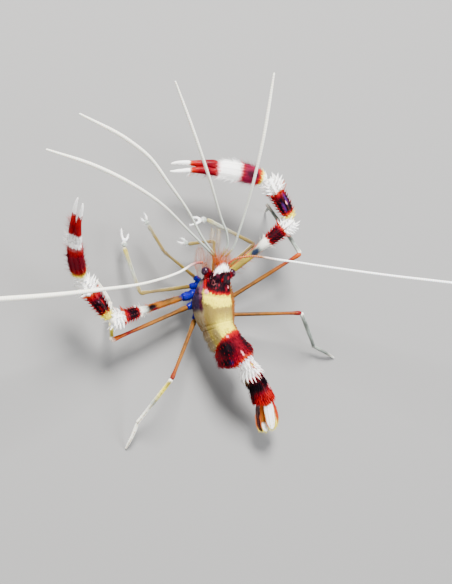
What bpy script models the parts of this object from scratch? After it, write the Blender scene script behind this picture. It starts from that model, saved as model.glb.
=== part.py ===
"""A banded coral shrimp, one of the reef's cleaner shrimps, as a still model at life size.

It faces -Y with its left side at +X, and stands on the toes of its last two pairs of legs. The other legs are
held clear of the floor, and the big claws of the third pair are spread. Lengths are in millimetres until a mesh is
made, a heading is in degrees from straight ahead towards the animal's left, and a pitch is in degrees above level.
"""

import math

import bpy
import numpy as np

MM = 0.001
GAP = 0.3  # air between neighbouring pieces
FEELER_TIP = 0.26  # half thickness of the thinnest ends

# Paint, as (red, green, blue, roughness)
RED = (0.52, 0.02, 0.02, 0.45)
WHITE = (0.88, 0.87, 0.84, 0.5)
CREAM = (0.78, 0.72, 0.5, 0.5)
AMBER = (0.72, 0.33, 0.14, 0.4)
BLUE = (0.05, 0.1, 0.55, 0.4)
BLACK = (0.02, 0.01, 0.02, 0.12)

# The line of the back, from the front of the carapace to the tail's end: distance, degrees turned to the right
BACK_START = (0.0, -6.2, 17.1)
BACK_TURN = (
    (0, -2), (4, -1), (8, 4), (13.5, 16), (16.1, 30), (19.3, 36), (24, 39), (28, 42), (35, 43), (38, 34), (43, 22),
)
BACK_PITCH = ((13.5, 0), (16, 9), (19, 7), (22.5, 0), (28, -20.5))  # distance, degrees above level

# Carapace, at each station: distance, half width, rise of the back above its line, depth down to the lower edge
CARAPACE = (
    (0.0, 3.3, -0.7, 6.4),
    (0.8, 4.1, -0.2, 7.4),
    (2.2, 4.7, 0.1, 8.2),
    (5.2, 5.6, 0.4, 8.7),
    (9.2, 5.8, 0.4, 8.8),
    (12.2, 5.3, 0.2, 8.4),
    (13.5, 4.7, 0.0, 7.6),
)
CARAPACE_RINGS = 14
# The shield between the eyes, narrowing to a beak: distance back, height, half width, half thickness
ROSTRUM = (
    (-4.6, 16.7, 2.6, 0.7),
    (-5.8, 16.7, 2.6, 0.7),
    (-6.8, 16.75, 2.45, 0.65),
    (-7.8, 16.85, 2.0, 0.6),
    (-8.6, 16.9, 1.4, 0.55),
    (-9.2, 16.95, 0.75, 0.5),
    (-9.9, 16.95, 0.5, 0.4),
    (-10.6, 16.95, 0.28, 0.28),
)

# Half of a shell's cross section: share of the half width, share of the depth above the lower edge
SHELL_OUTLINE = ((0.38, 0.95), (0.7, 0.8), (0.92, 0.55), (1.0, 0.28), (0.96, 0.06), (0.78, 0.0), (0.6, 0.12))
SHELL_SIDES = 2 * len(SHELL_OUTLINE) + 2

# Abdomen
SOMITE_LENGTHS = (2.0, 2.8, 7.4, 5.7, 4.3, 5.6)
ABDOMEN_SIZES = (  # distance behind the carapace, half width, depth down to the lower edge
    (0.0, 4.6, 7.4),
    (5.5, 4.7, 8.4),
    (8.5, 4.9, 8.6),
    (12.1, 4.4, 7.2),
    (12.5, 3.4, 5.4),
    (17.9, 2.7, 4.6),
    (22.2, 2.6, 4.2),
    (24.0, 2.9, 4.2),
    (27.8, 3.3, 4.4),
)
SOMITE_WAIST = (0.94, 1.0, 1.01, 0.97)  # girth from the front edge to the rear edge of each somite
TAIL_LENGTH = 9.6

# Legs: where each limb leaves the body, on the left side, how far its blue base reaches, and how thick it is there
LEG_ROOTS = {
    "leg1": ((3.0, -6.6, 6.3), 1.6, 0.8),
    "leg2": ((3.4, -4.9, 6.3), 2.6, 0.9),
    "leg3": ((3.6, -2.6, 6.3), 5.4, 1.3),
    "leg4": ((3.6, 0.4, 6.3), 3.4, 1.0),
    "leg5": ((3.2, 3.4, 6.3), 2.4, 0.95),
}
# The first three legs of the right side are drawn forward under the head
FORWARD_ROOTS = {
    "leg1_right": ((1.8, -7.5, 6.0), 1.6, 0.8),
    "leg2_right": ((3.8, -8.3, 5.0), 2.6, 0.9),
    "leg3_right": ((3.9, -7.0, 6.9), 2.6, 1.25),
}
# Pose: (length, heading, pitch) of each segment outwards. A foot has no pitch: it comes down to the floor
POSE = {
    "leg1_left": ((14.4, 60.7, 15.0), (9.0, 33.6, 0.0), (3.2, 34.0, 4.0)),
    "leg1_right": ((11.0, -2.4, 0.0), (9.5, 101.6, 12.1), (3.2, 70.0, 0.0)),
    "leg2_left": ((19.1, 101.3, 8.1), (14.3, 16.1, -12.1), (5.6, -6.4, -10.3)),
    "leg2_right": ((14.5, -46.1, 16.0), (16.1, 66.7, -3.6), (5.6, 99.7, -5.0)),
    "leg3_left": ((31.3, 109.6, 14.0), (14.3, 43.4, 11.8), (30.3, 27.7, 49.8)),
    "leg3_right": ((27.4, -48.0, 19.3), (14.0, 36.8, 8.4), (30.5, 87.4, -11.2)),
    "leg4_left": ((30.0, 114.4, 7.2), (14.0, -10.0, -32.0), (8.0, 28.0)),
    "leg4_right": ((28.6, -55.7, 17.8), (18.3, 27.8, -18.9), (9.9, -96.5)),
    "leg5_left": ((24.0, 151.0, 19.0), (16.8, 152.0, -37.0), (8.6, 164.0)),
    "leg5_right": ((25.0, -87.5, 15.4), (16.2, -132.7, -38.0), (9.4, -109.0)),
}

# Feelers: hand-placed points from the end of each stalk out to the tip
FEELERS = {
    "antenna_left": (
        (3.9, -10.8, 12.1),
        (6.2, -10.4, 12.9),
        (12.2, -7.1, 15.0),
        (22.4, -3.2, 18.0),
        (38.8, 0.6, 23.0),
        (54.2, 3.6, 28.0),
        (68.6, 5.9, 32.0),
        (92.0, 9.0, 37.0),
    ),
    "antenna_right": (
        (-3.9, -10.8, 12.1),
        (-5.6, -12.2, 12.9),
        (-9.2, -13.1, 14.0),
        (-18.2, -12.2, 17.5),
        (-28.9, -10.5, 22.0),
        (-48.1, -8.3, 27.0),
        (-67.6, -6.5, 32.0),
        (-91.0, -4.5, 37.0),
    ),
    "antennule_left_inner": (
        (0.7, -12.3, 14.4),
        (5.5, -16.5, 16.5),
        (11.9, -23.8, 20.0),
        (19.3, -30.1, 24.0),
        (26.4, -36.0, 27.5),
        (33.8, -39.2, 31.0),
        (50.0, -43.5, 37.0),
    ),
    "antennule_left_outer": (
        (1.7, -12.3, 15.0),
        (5.5, -14.0, 18.0),
        (11.9, -17.5, 21.5),
        (23.6, -23.6, 28.0),
        (34.7, -27.4, 33.0),
        (45.4, -29.9, 37.0),
        (60.0, -32.0, 41.0),
    ),
    "antennule_right_inner": (
        (-0.8, -12.3, 14.4),
        (-2.0, -15.2, 16.0),
        (-0.9, -18.5, 18.2),
        (1.7, -21.9, 20.5),
        (8.7, -31.4, 28.0),
        (15.2, -40.4, 34.0),
        (25.0, -54.0, 42.0),
    ),
    "antennule_right_outer": (
        (-1.7, -12.3, 15.0),
        (-3.3, -14.3, 16.4),
        (-4.1, -19.1, 19.5),
        (-4.7, -24.9, 23.0),
        (-4.7, -33.5, 29.0),
        (-4.8, -42.5, 34.0),
        (-4.5, -60.0, 42.0),
    ),
}

CLAW_BOW = 1.9  # how far the palm and fingers curve out of line
CLAW_ROLL = {"left": 65, "right": 0}  # degrees that a claw is turned about its own length
CLAW_KNUCKLE = 1.05
LEG_KNUCKLE = 0.62
ANKLE_KNUCKLE = 0.5
TOE_ARCH = 0.22  # how far a toe curves up between ankle and floor, as a share of the ankle's height

FEELER_GIRTH = {  # half thickness near the head and further out
    "antenna_left": (0.34, 0.6),
    "antenna_right": (0.32, 0.38),
    "antennule_left_inner": (0.34, 0.5),
    "antennule_left_outer": (0.34, 0.5),
    "antennule_right_inner": (0.32, 0.42),
    "antennule_right_outer": (0.32, 0.42),
}

LEFT_AND_RIGHT = (("left", 1), ("right", -1))


def direction(heading, pitch):
    """The unit vector of a heading and a pitch."""
    turn, rise = math.radians(heading), math.radians(pitch)
    return np.array((math.sin(turn) * math.cos(rise), -math.cos(turn) * math.cos(rise), math.sin(rise)))


def frames(path):
    """The direction, the level side vector and the upper normal at each point of a path."""
    ahead = np.gradient(path, axis=0)
    ahead /= np.linalg.norm(ahead, axis=1)[:, None]
    side = np.cross((0.0, 0.0, 1.0), ahead)
    side /= np.linalg.norm(side, axis=1)[:, None]
    return ahead, side, np.cross(ahead, side)


def smooth_path(points, count):
    """A Catmull-Rom curve through the points, evenly spread over its spans."""
    points = np.array(points, float)
    ends = np.vstack((2 * points[0] - points[1], points, 2 * points[-1] - points[-2]))
    place = np.linspace(0, len(points) - 1, count)
    span = np.minimum(place.astype(int), len(points) - 2)
    t = (place - span)[:, None]
    a, b, c, d = (ends[span + k] for k in range(4))
    return 0.5 * (2 * b + (c - a) * t + (2 * a - 5 * b + 4 * c - d) * t**2 + (3 * b - a - 3 * c + d) * t**3)


def tube_rings(path, widths, heights, sides, offsets=0.0, roll=0.0):
    """An ellipse round each point of the path, moved sideways by the offsets, then rolled about the path."""
    _, level, upright = frames(path)
    turned = math.radians(roll)
    side = level * math.cos(turned) + upright * math.sin(turned)
    upper = upright * math.cos(turned) - level * math.sin(turned)
    angle = 2 * math.pi * (np.arange(sides) + 0.5) / sides
    count = len(path)
    across = np.broadcast_to(widths, count)[:, None] * np.cos(angle) + np.broadcast_to(offsets, count)[:, None]
    above = np.broadcast_to(heights, count)[:, None] * np.sin(angle)
    return path[:, None] + across[..., None] * side[:, None] + above[..., None] * upper[:, None]


def shell_rings(back, side, upper, widths, depths):
    """A shell's cross section hung from each point of the line of its back."""
    half = np.array(SHELL_OUTLINE)
    mirrored = half * (-1, 1)
    outline = np.vstack(((0, 1), mirrored, (0, half[-1, 1] + 0.03), half[::-1]))
    across = outline[:, 0] * np.asarray(widths)[:, None]
    below = (outline[:, 1] - 1) * np.asarray(depths)[:, None]
    return back[:, None] + across[..., None] * side[:, None] + below[..., None] * upper[:, None]


def skin(rings, thorn=None, lean=0.6):
    """Points and faces of the closed skin over the rings.

    thorn(ring, side) is the length of the thorn on that face, or 0, and lean tips it towards the next ring.
    """
    count, sides = rings.shape[:2]
    points = rings.reshape(-1, 3)
    extra, faces = [], []
    for i in range(count - 1):
        axis = rings[i : i + 2].reshape(-1, 3).mean(axis=0)
        ahead = rings[i + 1].mean(axis=0) - rings[i].mean(axis=0)
        ahead /= np.linalg.norm(ahead)
        for j in range(sides):
            k = (j + 1) % sides
            quad = (i * sides + j, i * sides + k, (i + 1) * sides + k, (i + 1) * sides + j)
            length = thorn(i, j) if thorn else 0
            if not length:
                faces.append(quad)
                continue
            middle = points[list(quad)].mean(axis=0)
            out = middle - axis
            out -= ahead * (out @ ahead)
            extra.append(middle + length * (out / np.linalg.norm(out) + lean * ahead))
            faces += [(quad[n], quad[(n + 1) % 4], len(points) + len(extra) - 1) for n in range(4)]
    faces.append(tuple(range(sides))[::-1])
    faces.append(tuple(range((count - 1) * sides, count * sides)))
    return np.vstack([points, *extra]), faces


def paint(name, look):
    material = bpy.data.materials.new(name + "_paint")
    material.use_nodes = True
    shader = material.node_tree.nodes["Principled BSDF"]
    shader.inputs["Base Color"].default_value = (*look[:3], 1)
    shader.inputs["Roughness"].default_value = look[3]
    shader.inputs["Metallic"].default_value = 0
    return material


def add(name, rings, look, origin=(0, 0, 0), **thorns):
    """One node: a closed skin over rings, with its origin at the joint it grows from."""
    points, faces = skin(rings, **thorns)
    mesh = bpy.data.meshes.new(name)
    mesh.from_pydata(((points - origin) * MM).tolist(), [], faces)
    mesh.shade_smooth()
    mesh.set_sharp_from_angle(angle=math.radians(40))
    mesh.materials.append(paint(name, look))
    piece = bpy.data.objects.new(name, mesh)
    piece.location = np.array(origin) * MM
    piece.parent = shrimp
    bpy.context.scene.collection.objects.link(piece)
    return piece


def join(piece, part):
    """Makes part one body with piece."""
    union = piece.modifiers.new(part.name, "BOOLEAN")
    union.operation = "UNION"
    union.object = part
    part.hide_render = True
    part.display_type = "WIRE"


def segment(name, start, way, reach, profile, look, sides=6, rings=7, bow=0.0, knuckle=0.0, **thorns):
    """A straight or slightly bowed limb piece, from reach[0] to reach[1] along its way from the start.

    Profile rows are share of the length, half width, half height. A knuckle is the radius of a round end.
    """
    share = np.linspace(0, 1, rings)
    length = reach[1] - reach[0]
    path = np.array(start) + (reach[0] + share * length)[:, None] * way
    path[:, 2] += bow * length * 4 * share * (1 - share)
    at, widths, heights = np.array(profile).T
    bands = tube_rings(path, np.interp(share, at, widths), np.interp(share, at, heights), sides)
    if knuckle:
        ball = path[-1] + np.array((0.0, 0.7))[:, None] * knuckle * way
        ends = tube_rings(ball, (knuckle, knuckle * 0.68), (knuckle, knuckle * 0.68), sides)
        bands = np.concatenate((bands[:-1], ends))
    return add(name, bands, look, start, **thorns)


def clearance(knuckle, thick, way_in, way_out):
    """How far past a knuckle the next piece starts, clear of the knuckle and of the shaft behind it."""
    opening = math.pi - math.acos(max(-1.0, min(1.0, float(way_in @ way_out))))
    if opening >= math.pi / 2:
        return knuckle + GAP
    return max(knuckle + GAP, (knuckle + GAP + thick * math.cos(opening)) / math.sin(opening))


def base_of(limb):
    """Where a limb leaves the body, how far its blue base reaches and how thick it is."""
    leg, side = limb.split("_")
    place, reach, thick = FORWARD_ROOTS.get(limb, LEG_ROOTS[leg])
    return np.array(place) * ((1 if side == "left" else -1), 1, 1), reach, thick


def joints_of(limb):
    """The points where a limb's segments meet, from its root to its tip."""
    points = [base_of(limb)[0]]
    for step in POSE[limb]:
        length, heading = step[:2]
        pitch = step[2] if len(step) == 3 else -math.degrees(math.asin(points[-1][2] / length))
        points.append(points[-1] + length * direction(heading, pitch))
    return points


def out_from(start, end, distance):
    """The point this far from start on the way to end."""
    way = np.asarray(end) - start
    return start + way * (distance / np.linalg.norm(way))


def back_line(distances):
    """Points on the line of the back, by adding up short steps along its changing heading and pitch."""
    step = 0.1
    travelled = np.arange(-1, CARAPACE[-1][0] + sum(SOMITE_LENGTHS) + TAIL_LENGTH + 2, step)
    turn = np.radians(np.interp(travelled, *np.array(BACK_TURN).T))
    pitch = np.radians(np.interp(travelled, *np.array(BACK_PITCH).T))
    way = np.stack((-np.sin(turn) * np.cos(pitch), np.cos(turn) * np.cos(pitch), np.sin(pitch)), axis=1)
    points = np.array(BACK_START) + np.cumsum(way * step, axis=0) - way[0] * (1 + step)
    return np.stack([np.interp(distances, travelled, points[:, k]) for k in range(3)], axis=1)


def back_frames(distances):
    """The direction, side vector and upper normal of the line of the back at these distances."""
    step = 0.5
    near = np.stack([back_line(distances + shift) for shift in (-step, 0, step)])
    return [np.stack(rows)[:, 1] for rows in zip(*(frames(near[:, k]) for k in range(near.shape[1])))]


def make_carapace():
    station, width, rise, depth = np.array(CARAPACE).T
    place = np.linspace(station[0], station[-1], CARAPACE_RINGS)
    line = back_line(place) + np.interp(place, station, rise)[:, None] * (0, 0, 1)
    _, side, upper = back_frames(place)
    rings = shell_rings(line, side, upper, np.interp(place, station, width), np.interp(place, station, depth))

    def thorn(ring, side):
        on_back = side <= 4 or side >= SHELL_SIDES - 5
        return 0.55 if on_back and ring < CARAPACE_RINGS - 5 and (ring + side) % 2 == 0 else 0

    carapace = add("carapace", rings, CREAM, thorn=thorn, lean=-1.2)

    y, height, width, thick = np.array(ROSTRUM).T
    line = np.stack((np.zeros_like(y), y, height), axis=1)

    def tooth(ring, side):
        return 0.75 if side in (1, 3) and ring in (3, 5) else 0

    join(carapace, add("rostrum_guide", tube_rings(line, width, thick, 8), WHITE, thorn=tooth, lean=0.9))


def make_leg_bases():
    """The underside of the chest and the ten blue stumps that the legs grow from, as one body."""
    y = np.array((-7.0, -6.2, -3.5, 0.0, 3.5, 5.8, 6.6))
    width = (1.6, 2.3, 2.8, 2.9, 2.9, 2.3, 1.6)
    height = (1.0, 1.5, 1.7, 1.75, 1.75, 1.5, 1.0)
    line = np.stack((np.zeros_like(y), y, np.full_like(y, 7.3)), axis=1)
    chest = add("leg_bases", tube_rings(line, width, height, 10), BLUE)
    for leg in LEG_ROOTS:
        for side, mirror in LEFT_AND_RIGHT:
            limb = f"{leg}_{side}"
            _, reach, thick = base_of(limb)
            root, knee = joints_of(limb)[:2]
            end = out_from(root, knee, reach - GAP)
            inside = (root[0] - 2.0 * mirror, max(root[1], -4.8), 6.5)
            path = np.array((inside, root, root + (end - root) * 0.5, end))
            girth = thick * np.array((0.9, 1.0, 1.0, 0.82))
            join(chest, add(f"{limb}_stump_guide", tube_rings(path, girth, girth, 8), BLUE))


def make_swimmerets(somite, number, middle, depth):
    """Joins a pair of swimming paddles to the underside of a somite."""
    ahead, side, upper = (rows[0] for rows in back_frames(np.array([middle])))
    hinge = back_line([middle])[0] - upper * depth * 0.8
    down = out_from(np.zeros(3), -upper + 0.35 * ahead, 1.0)
    for name, mirror in LEFT_AND_RIGHT:
        top = hinge - side * mirror * 1.5
        path = np.array([top + down * reach for reach in (0.0, depth * 0.25, depth * 0.5)])
        paddle = np.stack([point + outline for point, outline in zip(path, paddle_outlines(ahead, side))])
        join(somite, add(f"swimmeret_{number}_{name}_guide", paddle, AMBER))


def paddle_outlines(ahead, side):
    """Three flat hexagons, from the hinge of a paddle to its tip."""
    angle = 2 * math.pi * np.arange(6) / 6
    thin, broad = np.cos(angle)[:, None] * side, -np.sin(angle)[:, None] * ahead
    return [thin * 0.5 * s + broad * b for s, b in ((0.7, 0.6), (0.8, 1.0), (0.6, 0.6))]


def make_abdomen():
    at, widths, depths = np.array(ABDOMEN_SIZES).T
    begin = at[0]
    behind = CARAPACE[-1][0] + GAP
    for number, length in enumerate(SOMITE_LENGTHS, 1):
        share = np.array((0.0, 0.16, 0.5, 0.84, 1.0) if length > 4 else (0.0, 0.2, 0.75, 1.0))
        place = begin + GAP / 2 + share * (length - GAP)
        waist = np.interp(share, (0, 0.3, 0.8, 1), SOMITE_WAIST)
        _, side, upper = back_frames(behind + begin + share * length)
        width, depth = (waist * np.interp(place, at, sizes) for sizes in (widths, depths))
        rings = shell_rings(back_line(behind + place), side, upper, width, depth)
        spiny = {4: 1.3, 5: 0.7, 6: 0.6}.get(number, 0.5)
        row = len(share) - 3

        def thorn(ring, side, row=row, spiny=spiny):
            return spiny if ring == row and (side < 5 or side >= SHELL_SIDES - 5) else 0

        look = WHITE if number == 4 else CREAM if number < 3 else RED
        somite = add(f"somite_{number}", rings, look, thorn=thorn, lean=1.0)
        if number < 6:
            middle = begin + length * 0.5
            make_swimmerets(somite, number, behind + middle, np.interp(middle, at, depths))
        begin += length


def make_tail_fan():
    """The telson over two pairs of overlapping blades, each flat in cross section.

    Plate rows are name, distance aside at the root, half width, half thickness, distance below the back, distance
    aside at the tip, share of the tail's length, and paint.
    """
    start = CARAPACE[-1][0] + GAP + sum(SOMITE_LENGTHS)
    line = back_line(start + np.linspace(GAP, TAIL_LENGTH, 7))
    share = np.linspace(0, 1, 7)
    blade = np.interp(share, (0, 0.5, 0.85, 1), (0.75, 1.0, 0.85, 0.3))
    plates = (
        ("telson", 0.0, 1.75, 0.7, 0.9, 0.0, 0.95, WHITE),
        ("uropod_inner", 0.9, 1.3, 0.35, 2.05, 1.5, 1.0, WHITE),
        ("uropod_outer", 1.7, 1.45, 0.35, 3.05, 2.45, 0.98, AMBER),
    )
    for name, inset, width, thick, below, spread, reach, look in plates:
        sides = (("", 0),) if name == "telson" else (("_left", 1), ("_right", -1))
        for suffix, mirror in sides:
            path = line.copy()
            _, side, upper = frames(path)
            path = line[0] + (line - line[0]) * reach
            fan = inset + (spread - inset) * share
            path = path - side * (mirror * fan)[:, None] - upper * below
            taper = np.interp(share, (0, 1), (1, 0.75)) if mirror == 0 else 1.0
            bands = tube_rings(path, width * blade * taper, thick * np.interp(share, (0, 1), (1, 0.8)), 6)
            add(name + suffix, bands, look)


def make_head():
    for side, mirror in LEFT_AND_RIGHT:
        stalk, look_way = (2.25 * mirror, -6.75, 14.25), direction(58 * mirror, 3)
        cup = ((0, 0.65, 0.65), (1, 0.95, 0.95))
        segment(f"eyestalk_{side}", stalk, look_way, (0.1, 1.3), cup, AMBER, 8, 3)
        dome = [(at, r, r) for at, r in ((0, 1.0), (0.2, 1.2), (0.5, 1.25), (0.75, 1.0), (0.92, 0.6), (1, 0.2))]
        segment(f"eye_{side}", stalk, look_way, (1.6, 3.5), dome, BLACK, 10, 9)
        stem = ((0, 0.6, 0.6), (0.3, 0.62, 0.62), (1, 0.5, 0.5))
        root = (0.85 * mirror, -6.75, 13.9)
        segment(f"antennule_base_{side}", root, direction(2 * mirror, 7), (0, 5.25), stem, AMBER, 6, 6)
        stem = ((0, 1.0, 1.0), (0.5, 0.95, 0.9), (1, 0.65, 0.65))
        root = (2.3 * mirror, -6.75, 11.6)
        segment(f"antenna_base_{side}", root, direction(17 * mirror, 5), (0, 3.9), stem, AMBER, 8, 5)
        scale = ((0, 0.8, 0.35), (0.35, 1.35, 0.35), (0.8, 1.1, 0.3), (1, 0.4, 0.26))
        root = (3.7 * mirror, -7.1, 9.5)
        segment(f"antennal_scale_{side}", root, direction(3 * mirror, 8), (0, 8.5), scale, AMBER, 6, 6)
        jaw = ((0, 0.75, 0.7), (0.4, 0.7, 0.6), (0.8, 0.5, 0.45), (1, 0.28, 0.28))
        root = (1.2 * mirror, -7.3, 8.0)
        segment(f"maxilliped_{side}", root, direction(-mirror, 18), (0, 14.4), jaw, AMBER, 6, 8, bow=0.05)
    for name, points in FEELERS.items():
        root, middle = FEELER_GIRTH[name]
        path = smooth_path(points, 18)
        share = np.linspace(0, 1, len(path))
        girth = np.interp(share, (0, 0.2, 0.5, 0.85, 1), (root, root, middle, middle, FEELER_TIP))
        add(name + "_feeler", tube_rings(path, girth, girth, 6), WHITE, points[0])


def make_arm(limb):
    """The bent arm of a small leg as one piece, and its pincer as another."""
    root, elbow, wrist, tip = joints_of(limb)
    _, reach, thick = base_of(limb)
    first = out_from(root, elbow, reach + GAP / 2)
    last = out_from(wrist, elbow, GAP / 2)
    rounding = 0.7
    path = np.array(
        (
            first,
            first + (elbow - first) * 0.5,
            out_from(elbow, first, rounding),
            elbow * 0.7 + out_from(elbow, first, rounding) * 0.15 + out_from(elbow, last, rounding) * 0.15,
            out_from(elbow, last, rounding),
            elbow + (last - elbow) * 0.5,
            last,
        )
    )
    girth = thick * np.array((0.72, 0.62, 0.6, 0.62, 0.55, 0.52, 0.55))
    add(limb + "_arm", tube_rings(path, girth, girth, 6), AMBER, first)

    length, heading, pitch = POSE[limb][2]
    palm = ((0, 0.5, 0.45), (0.25, 0.85, 0.6), (0.5, 0.8, 0.55), (0.55, 0.42, 0.42), (1, 0.27, 0.27))
    size = thick / 0.9
    profile = [(at, width * size, max(height * size, 0.27)) for at, width, height in palm]
    reach = (GAP / 2, length)
    pincer = segment(limb + "_pincer", wrist, direction(heading, pitch), reach, profile, WHITE, 6, 9)
    side = np.cross((0, 0, 1), direction(heading, 0))
    base = out_from(wrist, tip, length * 0.42)
    for number, mirror in enumerate((-1, 1)):
        path = np.array((base, base + side * mirror * 0.5 * size, tip + side * mirror * 0.75 * size))
        path[1] += (tip - wrist) * 0.12
        if number:
            finger = add(limb + "_finger_guide", tube_rings(path, 0.3, 0.3, 6), WHITE)
            join(pincer, finger)


def make_claw(side, mirror):
    """The third leg: a long arm, a wrist and a palm whose inner finger is fixed and whose outer one is free."""
    limb = f"leg3_{side}"
    root, knee, wrist, _ = joints_of(limb)
    reach = base_of(limb)[1]
    roll = CLAW_ROLL[side]
    ways = [direction(heading, pitch) for _, heading, pitch in POSE[limb]]
    lengths = [step[0] for step in POSE[limb]]

    def arm_thorn(ring, place):
        return (0.7 if ring < 9 else 1.1) if 5 < ring < 12 and (ring + place) % 2 else 0

    merus = ((0, 1.0, 1.0), (0.3, 1.15, 1.1), (0.55, 1.3, 1.25), (0.7, 1.75, 1.6), (0.95, 1.95, 1.8), (1, 1.0, 1.0))
    start = out_from(root, knee, reach)
    stretch = (0, lengths[0] - reach)
    segment(f"{limb}_arm", start, ways[0], stretch, merus, RED, 8, 13, knuckle=CLAW_KNUCKLE, thorn=arm_thorn)

    def wrist_thorn(ring, place):
        return (0.7 if ring < 6 else 1.1) if 0 < ring < 9 and (ring + place) % 2 else 0

    carpus = ((0, 1.1, 1.1), (0.2, 1.9, 1.8), (0.6, 2.2, 2.0), (0.92, 2.1, 1.9), (1, 1.1, 1.1))
    stretch = (clearance(CLAW_KNUCKLE, 1.1, ways[0], ways[1]), lengths[1])
    segment(f"{limb}_wrist", knee, ways[1], stretch, carpus, RED, 8, 10, knuckle=CLAW_KNUCKLE, thorn=wrist_thorn)

    # distance from the wrist, half width, half thickness, offset towards the free finger
    palm = np.array(
        (
            (clearance(CLAW_KNUCKLE, 1.0, ways[1], ways[2]), 1.0, 1.0, 0.0),
            (2.4, 1.8, 1.5, 0.0),
            (4.0, 2.4, 1.8, 0.0),
            (6.0, 2.7, 1.95, 0.0),
            (8.4, 2.75, 1.95, 0.0),
            (10.8, 2.7, 1.85, 0.0),
            (13.2, 2.6, 1.7, 0.0),
            (15.6, 2.4, 1.5, 0.0),
            (16.2, 1.15, 1.15, -1.25),
            (19.0, 0.95, 1.0, -1.3),
            (23.0, 0.8, 0.85, -1.35),
            (27.0, 0.6, 0.6, -1.3),
            (29.2, 0.4, 0.4, -1.15),
            (30.0, 0.26, 0.26, -1.0),
        )
    )
    outward = np.cross((0, 0, mirror), ways[2])
    outward *= 4 * CLAW_BOW / np.linalg.norm(outward)

    def bowed(stations):
        share = stations[:, :1] / lengths[2]
        return wrist + stations[:, :1] * ways[2] + share * (1 - share) * outward

    def palm_thorn(ring, place):
        return 0.8 if 0 < ring < 7 and (ring + place) % 2 else 0

    bands = tube_rings(bowed(palm), palm[:, 1], palm[:, 2], 8, palm[:, 3] * mirror, roll)
    add(f"{limb}_palm", bands, RED, wrist, thorn=palm_thorn)

    finger = np.array(
        (
            (16.2, 1.05, 1.1, 1.3),
            (18.0, 1.1, 1.1, 1.45),
            (21.0, 0.9, 0.95, 1.5),
            (25.0, 0.7, 0.7, 1.5),
            (28.0, 0.45, 0.45, 1.35),
            (29.4, 0.26, 0.26, 1.15),
        )
    )
    bands = tube_rings(bowed(finger), finger[:, 1], finger[:, 2], 8, finger[:, 3] * mirror, roll)
    add(f"{limb}_finger", bands, WHITE, bowed(finger)[0])


def make_standing_leg(limb):
    """A walking leg in three pieces, the last of which ends in a small flat on the floor."""
    points = joints_of(limb)
    _, reach, thick = base_of(limb)
    ways = [out_from(np.zeros(3), b - a, 1.0) for a, b in zip(points, points[1:])]
    lengths = [step[0] for step in POSE[limb]]
    start = out_from(points[0], points[1], reach)
    thigh = ((0, 0.75 * thick, 0.75 * thick), (0.85, 0.58 * thick, 0.6 * thick), (1, 0.6 * thick, 0.6 * thick))
    stretch = (0, lengths[0] - reach)
    segment(f"{limb}_upper", start, ways[0], stretch, thigh, AMBER, 6, 6, bow=0.01, knuckle=LEG_KNUCKLE)
    shin = ((0, 0.58, 0.58), (0.12, 0.62, 0.62), (0.9, 0.52, 0.52), (1, 0.5, 0.5))
    stretch = (clearance(LEG_KNUCKLE, 0.58, ways[0], ways[1]), lengths[1])
    segment(f"{limb}_lower", points[1], ways[1], stretch, shin, WHITE, 6, 6, bow=0.015, knuckle=ANKLE_KNUCKLE)

    ankle, toe = points[2:]
    start = clearance(ANKLE_KNUCKLE, 0.45, ways[1], ways[2]) / lengths[2]
    share = np.array((start, 0.25, 0.45, 0.65, 0.84, 1.0))[:, None]
    path = ankle + share * (toe - ankle)
    path[:, 2] += TOE_ARCH * ankle[2] * 4 * ((share - start) * (1 - share))[:, 0]
    girth = np.interp(share[:, 0], (start, 0.25, 0.84, 1), (0.44, 0.48, 0.38, 0.4))
    bands = tube_rings(path, girth, girth, 6)
    angle = 2 * math.pi * (np.arange(6) + 0.5) / 6
    forward = direction(POSE[limb][2][1], 0)
    side = np.cross((0, 0, 1), forward)
    bands[-1] = toe + 0.42 * np.cos(angle)[:, None] * side + 0.5 * np.sin(angle)[:, None] * forward
    bands[-1, :, 2] = 0
    add(f"{limb}_foot", bands, WHITE, ankle)


def centre_on_floor():
    """Moves the whole animal so that the middle of its box, at floor level, is the world's origin."""
    bpy.context.view_layer.update()
    corners = np.array(
        [
            piece.matrix_world @ vertex.co
            for piece in bpy.data.objects
            if piece.type == "MESH" and not piece.hide_render
            for vertex in piece.data.vertices
        ]
    )
    low, high = corners.min(axis=0), corners.max(axis=0)
    shrimp.location = (-(low[0] + high[0]) / 2, -(low[1] + high[1]) / 2, 0)


for old in list(bpy.data.objects):
    bpy.data.objects.remove(old, do_unlink=True)

shrimp = bpy.data.objects.new("shrimp", None)
bpy.context.scene.collection.objects.link(shrimp)

make_carapace()
make_leg_bases()
make_abdomen()
make_tail_fan()
make_head()
for side, mirror in LEFT_AND_RIGHT:
    make_arm(f"leg1_{side}")
    make_arm(f"leg2_{side}")
    make_claw(side, mirror)
    make_standing_leg(f"leg4_{side}")
    make_standing_leg(f"leg5_{side}")
centre_on_floor()
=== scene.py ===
import math
import bpy
import numpy as np
from mathutils import Matrix, Vector


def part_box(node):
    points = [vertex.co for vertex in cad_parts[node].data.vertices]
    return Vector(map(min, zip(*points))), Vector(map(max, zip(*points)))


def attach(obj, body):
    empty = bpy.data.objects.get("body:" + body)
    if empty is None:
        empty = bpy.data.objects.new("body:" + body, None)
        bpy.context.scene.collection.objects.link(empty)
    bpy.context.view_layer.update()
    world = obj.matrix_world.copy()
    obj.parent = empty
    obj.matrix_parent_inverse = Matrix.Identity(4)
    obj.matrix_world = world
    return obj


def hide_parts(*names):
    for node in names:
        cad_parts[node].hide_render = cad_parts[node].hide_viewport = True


# The looks of a banded coral shrimp at life size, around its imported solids.
# Shapes are worked out in millimetres in the animal's own frame: head -Y, left +X, floor at z 0.

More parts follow.
